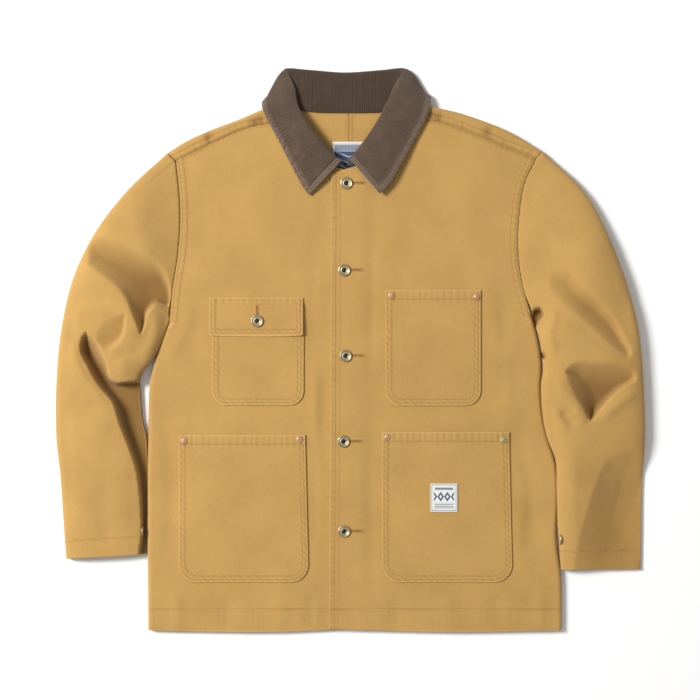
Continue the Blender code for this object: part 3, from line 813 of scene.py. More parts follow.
def collar_surface():
    """The collar's middle surface and its normals.

    With them, for each point, come its height on a wale, its distance from the edge and its run along that edge,
    and the length along the roll line.
    """
    shares = np.linspace(0, 1, COLLAR_ACROSS + 1)
    lines = []
    for section in COLLAR:
        seam, roll, edge = (np.array(point, float) for point in section[:3])
        stand = seam + (roll - seam) * 0.5
        stand[2] = seam[2]
        belly = roll + (edge - roll) * 0.28
        belly[2] = section.belly_z
        span = (edge - roll)[:2] * (1 if roll[0] > 0 else -1)
        belly[:2] += section.bulge * np.array((-span[1], span[0])) / np.hypot(*span)
        lines.append(curve([seam, stand, roll, belly, edge], even=True)(shares))
    grid = curve(np.array(lines), even=True)(np.linspace(0, 1, COLLAR_ALONG + 1))
    normals = grid_normals(grid)
    roll_line = grid[:, COLLAR_ACROSS // 2]
    along = np.concatenate([[0.0], np.cumsum(np.linalg.norm(np.diff(roll_line, axis=0), axis=1))])
    phase = along / (bpy.context.scene.jacket_cloth.wale / MM)
    wale = np.abs(np.sin(np.pi * phase))[:, None] ** 0.7 * np.ones(COLLAR_ACROSS + 1)
    steps = np.linalg.norm(np.diff(grid, axis=1), axis=2)
    to_edge = np.concatenate([np.cumsum(steps[:, ::-1], axis=1)[:, ::-1], np.zeros((len(grid), 1))], axis=1)
    steps = np.linalg.norm(np.diff(grid, axis=0), axis=2)
    from_start = np.concatenate([np.zeros((1, COLLAR_ACROSS + 1)), np.cumsum(steps, axis=0)])
    to_front = np.minimum(from_start, from_start[-1:] - from_start)
    run = np.where(to_front < to_edge, to_edge, from_start)
    to_edge = np.minimum(to_edge, to_front)
    return grid, normals, wale, to_edge, along, run


# Making and finishing meshes


def deselect_all():
    for obj in bpy.context.selected_objects:
        obj.select_set(False)


def apply_modifier(obj, kind, **settings):
    bpy.context.view_layer.objects.active = obj
    modifier = obj.modifiers.new(kind.title(), kind)
    for name, value in settings.items():
        setattr(modifier, name, value)
    bpy.ops.object.modifier_apply(modifier=modifier.name)


def to_frame(points):
    """Metres in the model's frame, from millimetres on the drawing."""
    return (np.asarray(points) - np.array((*OUTLINE_CENTRE, 0))) * MM


def cloth_mesh(name, grid, wall, tones=None, tube=False, rim=0.0, rim_angle=58, rim_steps=2):
    """A cloth piece: a grid laid through rows of points on its middle surface, given its wall and a round rim."""
    rows, columns = grid.shape[:2]
    deselect_all()
    if tube:
        grid = np.concatenate([grid, grid[:, :1]], axis=1)
        tones = {key: np.concatenate([value, value[:, :1]], axis=1) for key, value in (tones or {}).items()}
        columns += 1
    bpy.ops.mesh.primitive_grid_add(x_subdivisions=columns - 1, y_subdivisions=rows - 1, size=2)
    obj = bpy.context.object
    obj.name = obj.data.name = name
    mesh = obj.data
    places = np.empty(len(mesh.vertices) * 3)
    mesh.vertices.foreach_get("co", places)
    places = places.reshape(-1, 3)
    i = np.rint((places[:, 0] + 1) / 2 * (columns - 1)).astype(int)
    j = np.rint((places[:, 1] + 1) / 2 * (rows - 1)).astype(int)
    points = grid[j, i].copy()
    points[:, 2] = np.maximum(points[:, 2], wall / 2)
    mesh.vertices.foreach_set("co", to_frame(points).ravel())
    for key, value in (tones or {}).items():
        attribute = mesh.attributes.new(key, "FLOAT", "POINT")
        attribute.data.foreach_set("value", value[j, i].astype(np.float32))
    mesh.update()
    if tube:
        bpy.ops.object.mode_set(mode="EDIT")
        bpy.ops.mesh.select_all(action="SELECT")
        bpy.ops.mesh.remove_doubles(threshold=1e-6)
        bpy.ops.object.mode_set(mode="OBJECT")
    apply_modifier(obj, "SOLIDIFY", thickness=wall * MM, offset=0)
    if rim:
        limit = dict(limit_method="ANGLE", angle_limit=math.radians(rim_angle))
        apply_modifier(obj, "BEVEL", width=rim * MM, segments=rim_steps, **limit)
    bpy.ops.object.shade_smooth()
    return obj


def lathe(name, profile, centre, steps=40, painted_eye_shade=0.01):
    """A round piece about Z: a circle drawn through the profile ring by ring and closed at both ends.

    A painted shade, for the dark eye in the middle, lies within the given radius of the axis.
    """
    deselect_all()
    x, y, z = to_frame(centre)
    radius, height = profile[0]
    bpy.ops.mesh.primitive_circle_add(vertices=steps, radius=radius * MM, location=(x, y, z + height * MM))
    obj = bpy.context.object
    obj.name = obj.data.name = name
    bpy.ops.object.mode_set(mode="EDIT")
    bpy.ops.mesh.select_all(action="SELECT")
    bpy.ops.mesh.edge_face_add()
    bpy.ops.mesh.inset(thickness=radius * MM * 0.5)
    bpy.ops.mesh.select_all(action="DESELECT")
    bpy.ops.object.mode_set(mode="OBJECT")
    for vert in obj.data.vertices:
        vert.select = math.hypot(vert.co.x, vert.co.y) > radius * MM * 0.9
    for edge in obj.data.edges:
        edge.select = all(obj.data.vertices[v].select for v in edge.vertices)
    bpy.ops.object.mode_set(mode="EDIT")
    bpy.ops.mesh.select_mode(type="EDGE")
    for (before, low), (after, high) in zip(profile, profile[1:]):
        bpy.ops.mesh.extrude_edges_move(TRANSFORM_OT_translate={"value": (0, 0, (high - low) * MM)})
        scale = after / before
        bpy.ops.transform.resize(value=(scale, scale, 1), center_override=(x, y, z + high * MM))
    bpy.ops.mesh.edge_face_add()
    bpy.ops.mesh.select_all(action="SELECT")
    bpy.ops.mesh.normals_make_consistent(inside=False)
    bpy.ops.object.mode_set(mode="OBJECT")
    bpy.ops.object.transform_apply(location=True, rotation=True, scale=True)
    bpy.ops.object.shade_smooth_by_angle(angle=math.radians(40))
    from_axis = np.array([math.hypot(vert.co.x - x, vert.co.y - y) for vert in obj.data.vertices]) / MM
    # Painted shade for the eye: 1 near the axis, fading out at the given radius.
    attribute = obj.data.attributes.new("painted_eye_shade", "FLOAT", "POINT")
    attribute.data.foreach_set("value", (1 - smooth_step(0.75 * painted_eye_shade, painted_eye_shade, from_axis)).astype(np.float32))
    return obj


def one_stitch():
    """Points and faces of one stitch: a small closed barrel 2 long, 2 wide and 2 high, along X."""
    deselect_all()
    bpy.ops.mesh.primitive_uv_sphere_add(segments=6, ring_count=4, radius=1)
    obj = bpy.context.object
    mesh = obj.data
    points = np.array([vert.co[:] for vert in mesh.vertices])[:, [2, 1, 0]] * (1, 1, -1)
    points[:, 0] = np.sign(points[:, 0]) * np.abs(points[:, 0]) ** 0.6
    faces = [tuple(face.vertices) for face in mesh.polygons]
    bpy.data.objects.remove(obj)
    bpy.data.meshes.remove(mesh)
    return points, faces


def stitch_mesh(name, rows, scale=1.0):
    """Rows of topstitches joined in one mesh. Each row is a line of points on the cloth's top surface."""
    trim = bpy.context.scene.jacket_trim
    length, gap, width = (v / MM * scale for v in (trim.stitch_length, trim.stitch_gap, trim.stitch_width))
    shape, shape_faces = one_stitch()
    all_points, all_faces = [], []
    for row in rows:
        row = np.asarray(row, float)
        along = np.concatenate([[0.0], np.cumsum(np.linalg.norm(np.diff(row, axis=0), axis=1))])
        count = int(along[-1] / (length + gap))
        starts = (np.arange(count) + 0.5) * along[-1] / max(count, 1) - length / 2
        at = lambda s: np.stack([np.interp(s, along, row[:, k]) for k in range(3)], axis=1)
        head, tail, middle = at(starts), at(starts + length), at(starts + length / 2)
        ahead = tail - head
        ahead /= np.linalg.norm(ahead, axis=1)[:, None]
        side = np.cross(UP, ahead)
        side /= np.linalg.norm(side, axis=1)[:, None]
        up = np.cross(ahead, side)
        for k in range(count):
            base = len(all_points) * len(shape)
            local = shape * (length / 2, width / 2, width * 0.36)
            points = middle[k] + local[:, :1] * ahead[k] + local[:, 1:2] * side[k]
            all_points.append(points + local[:, 2:] * up[k])
            all_faces += [tuple(v + base for v in face) for face in shape_faces]
    mesh = bpy.data.meshes.new(name)
    mesh.from_pydata(to_frame(np.concatenate(all_points)).tolist(), [], all_faces)
    obj = bpy.data.objects.new(name, mesh)
    bpy.context.scene.collection.objects.link(obj)
    deselect_all()
    obj.select_set(True)
    bpy.context.view_layer.objects.active = obj
    bpy.ops.object.mode_set(mode="EDIT")
    bpy.ops.mesh.select_all(action="SELECT")
    bpy.ops.mesh.normals_make_consistent(inside=False)
    bpy.ops.object.mode_set(mode="OBJECT")
    bpy.ops.object.shade_smooth()
    return obj


def finish_piece(obj, material, slot, *nodes):
    """Gives a piece its material, hides the imported parts that it stands for, and lets it ride on the jacket.
    The slot is not used.
    """
    obj.data.materials.clear()
    obj.data.materials.append(material)
    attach(obj, "root")
    if nodes:
        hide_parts(*nodes)
    return obj


# Materials


def add(tree, kind, inputs=(), **settings):
    """Adds a node. Settings are its own properties, inputs its sockets, each a value or a node's output."""
    node = tree.nodes.new(kind)
    for name, value in settings.items():
        setattr(node, name, value)
    for key, value in dict(inputs).items():
        if isinstance(value, bpy.types.NodeSocket):
            tree.links.new(value, node.inputs[key])
        else:
            node.inputs[key].default_value = value
    return node


def new_material(name, roughness, **sockets):
    """A material with one Principled shader, and the node that gives Object coordinates."""
    found = bpy.data.materials.get(name)
    if found:
        return found, None, None, None
    material = bpy.data.materials.new(name)
    material.use_nodes = True
    tree = material.node_tree
    shader = tree.nodes["Principled BSDF"]
    shader.inputs["Roughness"].default_value = roughness
    for socket, value in sockets.items():
        shader.inputs[socket.replace("_", " ")].default_value = value
    return material, tree, shader, add(tree, "ShaderNodeTexCoord").outputs["Object"]


def mixed(tree, factor, first, second, blend="MIX"):
    """The output of a colour mix. Factor and colours are values or outputs."""
    as_value = lambda c: c if isinstance(c, bpy.types.NodeSocket) else (*c, 1)
    node = add(tree, "ShaderNodeMix", data_type="RGBA", blend_type=blend)
    for index, value in ((0, factor), (6, as_value(first)), (7, as_value(second))):
        if isinstance(value, bpy.types.NodeSocket):
            tree.links.new(value, node.inputs[index])
        else:
            node.inputs[index].default_value = value
    return node.outputs[2]


def ranged(tree, value, low, high, to_low=0.0, to_high=1.0):
    inputs = {"Value": value, "From Min": low, "From Max": high, "To Min": to_low, "To Max": to_high}
    return add(tree, "ShaderNodeMapRange", inputs).outputs[0]


def canvas_material():
    """Cotton duck, piece-dyed and washed: matt, unevenly woven, pale at rubbed edges, with painted shade in
    seams, stitch grooves and hollows.
    """
    cloth = bpy.context.scene.jacket_cloth
    sheen = dict(Sheen_Weight=0.12, Sheen_Roughness=0.6)
    material, tree, shader, place = new_material("washed cotton duck", 0.88, **sheen)
    if tree is None:
        return material
    shader.inputs["Specular IOR Level"].default_value = 0.22
    # Washing leaves clouds in the dyed colour about 60 mm across, and slubs in the yarn 3 mm long.
    cloudy = {"Vector": place, "Scale": 16.0, "Detail": 3.0, "Roughness": 0.55}
    clouds = add(tree, "ShaderNodeTexNoise", cloudy)
    long_way = add(tree, "ShaderNodeMapping", {"Vector": place, "Scale": (900.0, 260.0, 260.0)})
    slubs = add(tree, "ShaderNodeTexNoise", {"Vector": long_way.outputs[0], "Scale": 1.0, "Detail": 2.0})
    tone = add(tree, "ShaderNodeAttribute", attribute_name="tone").outputs["Fac"]
    pale, deep = tuple(cloth.canvas_worn), tuple(cloth.canvas_deep)
    colour = mixed(tree, ranged(tree, clouds.outputs[0], 0.35, 0.75, 0.0, 0.22), tuple(cloth.canvas), deep)
    colour = mixed(tree, ranged(tree, slubs.outputs[0], 0.45, 0.8, 0.0, 0.14), colour, pale)
    colour = mixed(tree, ranged(tree, tone, 0.0, 1.0, 0.0, 0.55), colour, pale)
    # Negative tone goes towards the deep colour: painted shade in hollows, stitch grooves, seam lines and dents.
    colour = mixed(tree, ranged(tree, tone, 0.0, -1.0, 0.0, 0.85), colour, deep)
    tree.links.new(colour, shader.inputs["Base Color"])
    # The yarns are drawn 0.9 mm apart, coarser than duck's, so that they show. 0.314 / spacing is a wave's scale.
    yarns = {"Vector": place, "Scale": 349.0, "Distortion": 1.2}
    warp = add(tree, "ShaderNodeTexWave", yarns, bands_direction="X")
    weft = add(tree, "ShaderNodeTexWave", yarns, bands_direction="Y")
    weave = add(tree, "ShaderNodeMath", {0: warp.outputs["Fac"], 1: weft.outputs["Fac"]}, operation="ADD")
    rough = add(tree, "ShaderNodeMath", {0: weave.outputs[0], 1: slubs.outputs[0]}, operation="ADD")
    bump = add(tree, "ShaderNodeBump", {"Height": rough.outputs[0], "Strength": 0.35, "Distance": 0.0002})
    tree.links.new(bump.outputs[0], shader.inputs["Normal"])
    return material


def corduroy_material():
    """Cotton corduroy, cut pile on a woven ground: soft and dark, with dusty wale tops."""
    cloth = bpy.context.scene.jacket_cloth
    sheen = dict(Sheen_Weight=0.35, Sheen_Roughness=0.5)
    material, tree, shader, place = new_material("cut-pile corduroy", 0.95, **sheen)
    if tree is None:
        return material
    shader.inputs["Specular IOR Level"].default_value = 0.1
    wale = add(tree, "ShaderNodeAttribute", attribute_name="wale").outputs["Fac"]
    wear = add(tree, "ShaderNodeAttribute", attribute_name="tone").outputs["Fac"]
    stand = add(tree, "ShaderNodeAttribute", attribute_name="shade").outputs["Fac"]
    run = add(tree, "ShaderNodeAttribute", attribute_name="run").outputs["Fac"]
    tufts = add(tree, "ShaderNodeTexNoise", {"Vector": place, "Scale": 900.0, "Detail": 3.0})
    clouds = add(tree, "ShaderNodeTexNoise", {"Vector": place, "Scale": 60.0, "Detail": 3.0})
    stand_shaded = mixed(tree, ranged(tree, wale, 0.1, 0.8, 0.3, 1.0), tuple(cloth.furrow), tuple(cloth.pile))
    rubbed = mixed(tree, ranged(tree, wale, 0.1, 0.8, 0.72, 1.0), tuple(cloth.furrow), tuple(cloth.pile))
    # Painted shade: the stand shows more furrow colour and goes darker.
    colour = mixed(tree, stand, rubbed, stand_shaded)
    dusty = ranged(tree, clouds.outputs[0], 0.45, 0.75, 0.0, 0.1)
    colour = mixed(tree, dusty, colour, tuple(cloth.pile_worn))
    worn = mixed(tree, ranged(tree, tufts.outputs[0], 0.35, 0.65), tuple(cloth.pile), tuple(cloth.pile_worn))
    # Pale ticks run along the worn edges, one to each wale and a little uneven.
    turns = add(tree, "ShaderNodeMath", {0: run, 1: 2 * math.pi / TICK_SPACING}, operation="MULTIPLY")
    uneven = {0: clouds.outputs[0], 1: 7.0, 2: turns.outputs[0]}
    wander = add(tree, "ShaderNodeMath", uneven, operation="MULTIPLY_ADD")
    ticks = add(tree, "ShaderNodeMath", {0: wander.outputs[0]}, operation="SINE")
    shown = ranged(tree, ticks.outputs[0], -0.6, 0.3, 0.15, 1.25)
    both = add(tree, "ShaderNodeMath", {0: wear, 1: shown}, operation="MULTIPLY")
    colour = mixed(tree, both.outputs[0], colour, worn)
    colour = mixed(tree, ranged(tree, tufts.outputs[0], 0.3, 0.7, 0.0, 0.4), colour, tuple(cloth.furrow))
    # Painted shade: the stand is darkened further towards the furrow colour.
    colour = mixed(tree, ranged(tree, stand, 0.0, 1.0, 0.0, 0.5), colour, tuple(cloth.furrow))
    tree.links.new(colour, shader.inputs["Base Color"])
    bump = add(tree, "ShaderNodeBump", {"Height": tufts.outputs[0], "Strength": 0.5, "Distance": 0.0004})
    tree.links.new(bump.outputs[0], shader.inputs["Normal"])
    return material


def thread_material(name, code):
    """Polyester-cotton thread: a twist of two plies with a slight lustre."""
    material, tree, shader, place = new_material(name, 0.6, Sheen_Weight=0.1)
    if tree is None:
        return material
    ply = add(tree, "ShaderNodeTexNoise", {"Vector": place, "Scale": 1600.0, "Detail": 1.0})
    dark = tuple(0.6 * value for value in code)
    colour = mixed(tree, ranged(tree, ply.outputs[0], 0.35, 0.65), dark, code)
    tree.links.new(colour, shader.inputs["Base Color"])
    bump = add(tree, "ShaderNodeBump", {"Height": ply.outputs[0], "Strength": 0.4, "Distance": 0.0002})
    tree.links.new(bump.outputs[0], shader.inputs["Normal"])
    return material


def metal_material(name, colour, roughness, patina):
    """Cast or struck metal, tumbled and aged: bright where it is rubbed, brown or green where it isn't, with
    painted shade in a button's eye.
    """
    material, tree, shader, place = new_material(name, roughness, Metallic=1.0)
    if tree is None:
        return material
    mottled = {"Vector": place, "Scale": 420.0, "Detail": 4.0, "Roughness": 0.6}
    marks = add(tree, "ShaderNodeTexNoise", mottled)
    painted_eye_shade = add(tree, "ShaderNodeAttribute", attribute_name="painted_eye_shade").outputs["Fac"]
    mix = mixed(tree, ranged(tree, marks.outputs[0], 0.42, 0.72, 0.0, 0.75), colour, patina)
    # Painted shade: the eye in a button's middle is drawn nearly black.
    mix = mixed(tree, ranged(tree, painted_eye_shade, 0.0, 1.0, 0.0, 0.92), mix, linear("#20180E"))
    tree.links.new(mix, shader.inputs["Base Color"])
    rough = ranged(tree, marks.outputs[0], 0.3, 0.7, roughness - 0.08, roughness + 0.2)
    tree.links.new(rough, shader.inputs["Roughness"])
    bump = add(tree, "ShaderNodeBump", {"Height": marks.outputs[0], "Strength": 0.25, "Distance": 0.0002})
    tree.links.new(bump.outputs[0], shader.inputs["Normal"])
    return material


def label_material():
    """Damask-woven polyester: a smooth satin ground with a darker figure, and a fine rib across."""
    trim = bpy.context.scene.jacket_trim
    material, tree, shader, place = new_material("damask-woven label", 0.55, Sheen_Weight=0.1)
    if tree is None:
        return material
    figure = add(tree, "ShaderNodeAttribute", attribute_name="figure").outputs["Fac"]
    ribs = {"Vector": place, "Scale": 600.0, "Distortion": 0.8}
    rib = add(tree, "ShaderNodeTexWave", ribs, bands_direction="Y")
    shaded = ranged(tree, rib.outputs["Fac"], 0.0, 1.0, 0.0, 0.15)
    ground = mixed(tree, shaded, tuple(trim.label_ground), (0.3, 0.35, 0.45))
    colour = mixed(tree, figure, ground, tuple(trim.label_figure))
    tree.links.new(colour, shader.inputs["Base Color"])
    bump = add(tree, "ShaderNodeBump", {"Height": rib.outputs["Fac"], "Strength": 0.2, "Distance": 0.0001})
    tree.links.new(bump.outputs[0], shader.inputs["Normal"])
    return material


def slit_material():
    """The dark inside of a buttonhole, where only a little light gets to the canvas."""
    material, tree, shader, place = new_material("buttonhole inside", 0.95)
    if tree is None:
        return material
    fray = add(tree, "ShaderNodeTexNoise", {"Vector": place, "Scale": 1500.0, "Detail": 2.0})
    colour = mixed(tree, fray.outputs[0], linear("#6A4A22"), linear("#94703A"))
    tree.links.new(colour, shader.inputs["Base Color"])
    return material


# Pieces


def front_edges(side):
    plan = PLANS[side]
    start, end = plan.side[0], plan.front_edge[0]
    bottom = curve([start, ((start[0] + end[0]) / 2, HEM_Y - 2), end])
    left = joined(curve(plan.side), curve(plan.armhole_front), ARMPIT_SHARE)
    right = joined(curve(plan.front_edge), curve(plan.neck_front), NECK_SHARE)
    return bottom, curve(plan.seam), left, right


def turn_shares(count, length):
    """Shares close to 0 that go round a fold of FOLD_REACH in even steps of its turn."""
    return FOLD_REACH * (1 - np.cos(np.linspace(0, np.pi / 2, count + 1))) / length


def build_front(side):
    cloth = bpy.context.scene.jacket_cloth
    start = turn_shares(6, PANEL_WIDTH)
    columns = np.concatenate([start, np.linspace(start[-1], 0.07, 12)[1:], np.linspace(0.07, 0.93, 76)[1:],
                              np.linspace(0.93, 1, 16)[1:]])
    rows = np.concatenate([np.linspace(0, 0.07, 18), np.linspace(0.07, ARMPIT_SHARE, 100)[1:],
                           np.linspace(ARMPIT_SHARE, NECK_SHARE, 44)[1:], np.linspace(NECK_SHARE, 1, 30)[1:]])
    plan_points = patch_grid(front_edges(side), columns, rows)
    x, y = plan_points[..., 0], plan_points[..., 1]
    _, tone = front_seams(side, x, y)
    grid = np.dstack([x, y, front_middle(side, x, y)])
    obj = cloth_mesh(f"canvas_front_{side}", grid, cloth.wall / MM, {"tone": tone}, rim=0.45)
    finish_piece(obj, canvas_material(), "canvas", f"front_{side}")

    plan = PLANS[side]
    inward = -1 if side == "right" else 1
    lines = []
    for offset in ARMHOLE_ROWS:
        lines.append(trimmed(offset_path(sampled(plan.armhole_front), inward * offset), 4, 3))
    lines.append(trimmed(offset_path(sampled(plan.seam), inward * SHOULDER_ROW), 4, 30))
    if side == "left":
        for offset in FRONT_EDGE_ROWS:
            lines.append(trimmed(offset_path(sampled(plan.front_edge), -offset), 3, 3))
        lines.append(np.array([(-22.0, HEM_ROW_Y), (284.0, HEM_ROW_Y)]))
    else:
        lines.append(np.array([(-271.0, HEM_ROW_Y), (-31.0, HEM_ROW_Y)]))
    stitches = on_front(side, f"topstitch_front_{side}", lines)
    return obj, stitches


def on_front(side, name, lines, top=None):
    """Topstitches along lines in plan, set down on a front or on what lies on it."""
    rows = []
    for line in lines:
        line = trimmed(np.asarray(line, float), 0, 0) if len(line) > 2 else np.linspace(line[0], line[1], 120)
        height = top or (lambda x, y: front_top(side, x, y))
        rows.append(np.column_stack([line, height(line[:, 0], line[:, 1]) + 0.12]))
    return finish_piece(stitch_mesh(name, rows), canvas_thread(), "canvas")


def canvas_thread():
    return thread_material("canvas thread", tuple(bpy.context.scene.jacket_cloth.thread))


def build_back(side):
    cloth = bpy.context.scene.jacket_cloth
    plan = PLANS[side]
    shift = 0.08 * (-1 if side == "right" else 1)
    centre = [(CENTRE_BACK_X + shift, HEM_Y + 2), (CENTRE_BACK_X + shift, 0), (CENTRE_BACK_X + shift, 328)]
    neck = [centre[-1]] + plan.neck_back[1:]
    left = joined(curve(plan.side), curve(plan.armhole_back), ARMPIT_SHARE)
    right = joined(curve(centre), curve(neck), NECK_SHARE)
    edges = (curve([plan.side[0], centre[0]]), curve(plan.fold), left, right)
    start = turn_shares(6, PANEL_WIDTH)
    columns = np.concatenate([start, np.linspace(start[-1], 0.92, 44)[1:], np.linspace(0.92, 1, 14)[1:]])
    fold = 1 - turn_shares(6, PANEL_LENGTH)[::-1]
    rows = np.concatenate([np.linspace(0, ARMPIT_SHARE, 56), np.linspace(ARMPIT_SHARE, NECK_SHARE, 30)[1:],
                           np.linspace(NECK_SHARE, fold[0], 22)[1:-1], fold])
    plan_points = patch_grid(edges, columns, rows)
    x, y = plan_points[..., 0], plan_points[..., 1]
    inside = smooth_step(4, 30, np.abs(path_frame(sampled(plan.side), x, y)[0]))
    inside = inside * smooth_step(6, 40, np.abs(path_frame(sampled(plan.fold), x, y)[0]))
    relief = np.maximum(crease_relief(BACK_CREASES, x, y) + 0.3 * broad_relief(x, y + 200), 0) * inside
    from_centre = np.abs(x - CENTRE_BACK_X)
    height, tone = seam_relief(from_centre, y, (1.0, CENTRE_BACK_ROW), swell=0.5, ripple=0.12)
    # Painted shade: the centre back seam is drawn dark.
    tone = tone - 1.2 * np.exp(-((from_centre / 0.9) ** 2))
    flat = np.dstack([x, y, back_height(side, x, y) + relief + np.maximum(height, 0) * inside])
    strip_rows, strip_tones = [], []
    folded, seam = curve(plan.fold)(columns), curve(plan.seam)(columns)
    reach = np.linalg.norm(seam - folded, axis=1)
    for share in (0.02, 0.06, 0.12, 0.2, 0.3, 0.4, 0.5, 0.6, 0.7, 0.78, 0.85, 0.9, 0.94, 0.97, 1):
        places = folded + (seam - folded) * (share * (1 - SEAM_GAP / reach))[:, None]
        px, py = places.T
        from_seam = reach * (1 - share)
        along = np.linalg.norm(np.diff(seam, axis=0, prepend=seam[:1]), axis=1).cumsum()
        extra, shade = seam_relief(from_seam, along, BACK_SHOULDER_ROWS, swell=0.2, ripple=0.2, start=1.6)
        spots = sum(np.exp(-(((px - sx) / 5) ** 2) - ((py - sy) / 7) ** 2) for sx, sy in SHOULDER_PUCKERS)
        gap = np.exp(-((from_seam / 1.3) ** 2))
        rise = smooth_step(0.05, 0.4, np.full_like(px, share))
        height = strip_height(side, px, py) + extra * rise - 0.9 * spots * rise - 0.9 * gap
        strip_rows.append(np.column_stack([places, height]))
        # Painted shade: the seam's gap and the pucker dents are drawn darker.
        strip_tones.append(np.clip((shade - 1.5 * gap) * rise - 0.9 * spots, -1, 1))
    grid = np.concatenate([flat, np.array(strip_rows)])
    tone = np.concatenate([np.clip(tone * inside, -1, 1), np.array(strip_tones)])
    obj = cloth_mesh(f"canvas_back_{side}", grid, cloth.wall / MM, {"tone": tone}, rim=0.4)
    finish_piece(obj, canvas_material(), "canvas", f"back_{side}")

    lines = []
    outward = 1 if side == "left" else -1
    row_x = CENTRE_BACK_X + outward * CENTRE_BACK_ROW
    line = np.linspace((row_x, 250.0), (row_x, 325.0), 60)
    lines.append(np.column_stack([line, flat_back_height(line[:, 1]) + cloth.wall / MM / 2 + 0.35]))
    for offset in BACK_SHOULDER_ROWS:
        line = trimmed(offset_path(sampled(plan.seam), -outward * offset), 8, 30)
        keep = np.array([path_frame(sampled(plan.fold), *point)[0] for point in line])
        line = line[np.abs(keep) > 3]
        lines.append(np.column_stack([line, strip_height(side, *line.T) + cloth.wall / MM / 2 + 0.15]))
    stitches = stitch_mesh(f"topstitch_back_{side}", lines)
    return obj, finish_piece(stitches, canvas_thread(), "canvas")


def build_sleeve(side):
    cloth = bpy.context.scene.jacket_cloth
    grid, normals, tone = sleeve_surface(side)
    wall = cloth.wall / MM
    obj = cloth_mesh(f"canvas_sleeve_{side}", grid, wall, {"tone": tone}, tube=True)
    finish_piece(obj, canvas_material(), "canvas", f"sleeve_{side}")
    along = np.linalg.norm(np.diff(grid, axis=0, prepend=grid[:1]), axis=2).cumsum(axis=0)
    ring = []
    for i in list(range(RING_POINTS)) + [0]:
        j = int(np.searchsorted(along[:, i], along[-1, i] - CUFF_ROW))
        if grid[j, i, 2] > 2.5:
            ring.append(grid[j, i] + normals[j, i] * (wall / 2 + 0.12))
    stitches = stitch_mesh(f"topstitch_sleeve_{side}", [ring])
    return obj, finish_piece(stitches, canvas_thread(), "canvas")


def build_collar():
    cloth = bpy.context.scene.jacket_cloth
    grid, normals, wale, to_edge, along, run = collar_surface()
    x, y = grid[..., 0], grid[..., 1]
    groove = np.exp(-(((to_edge - COLLAR_ROW) / 1.3) ** 2))
    soft = 0.6 * np.sin(along / 31)[:, None] * smooth_step(0, 25, to_edge)
    nape = smooth_step(330, 342, y) * (1 - smooth_step(358, 374, y))
    soft = soft - 1.4 * np.exp(-(((x + 8) / 9) ** 2)) * nape
    lift = (wale - 0.5) * cloth.wale_height / MM * (1 - 0.4 * groove)
    lift = lift - 0.9 * groove + 0.4 * np.exp(-((to_edge / 5) ** 2))
    up = normals * np.sign(normals[..., 2:3].mean() or 1)
    surface = grid + up * (lift + soft * smooth_step(0, 12, to_edge))[..., None]
    wear = np.clip(1 - smooth_step(5.5, 9.5, to_edge) + 0.12, 0, 1) - 0.4 * groove
    # Painted shade: the stand, steep under the fall, is drawn darker.
    stand = 1 - smooth_step(0.42, 0.56, np.linspace(0, 1, COLLAR_ACROSS + 1))
    tones = {"wale": wale, "tone": np.clip(wear, 0, 1), "shade": stand * np.ones_like(wale), "run": run}
    wall = cloth.collar_wall / MM
    obj = cloth_mesh("corduroy_collar", surface, wall, tones, rim=0.7, rim_angle=78, rim_steps=1)
    finish_piece(obj, corduroy_material(), "corduroy", "collar")

    start = np.searchsorted(along, COLLAR_ROW)
    end = len(along) - 1 - np.searchsorted(along[-1] - along[::-1], COLLAR_ROW)
    outer = []
    for j in range(start, end):
        i = COLLAR_ACROSS - int(np.searchsorted(to_edge[j, ::-1], COLLAR_ROW))
        point = surface[j, max(i, 1)] + up[j, max(i, 1)] * (wall / 2 + 0.3)
        if point[2] > 9.5:
            outer.append(point)
    outer = np.array(outer)
    breaks = np.where(np.linalg.norm(np.diff(outer, axis=0), axis=1) > 10)[0] + 1
    lines = [part for part in np.split(outer, breaks) if len(part) > 20]
    stitches = stitch_mesh("topstitch_collar", lines)
    thread = thread_material("collar thread", linear("#7C6652"))
    return obj, finish_piece(stitches, thread, "corduroy")


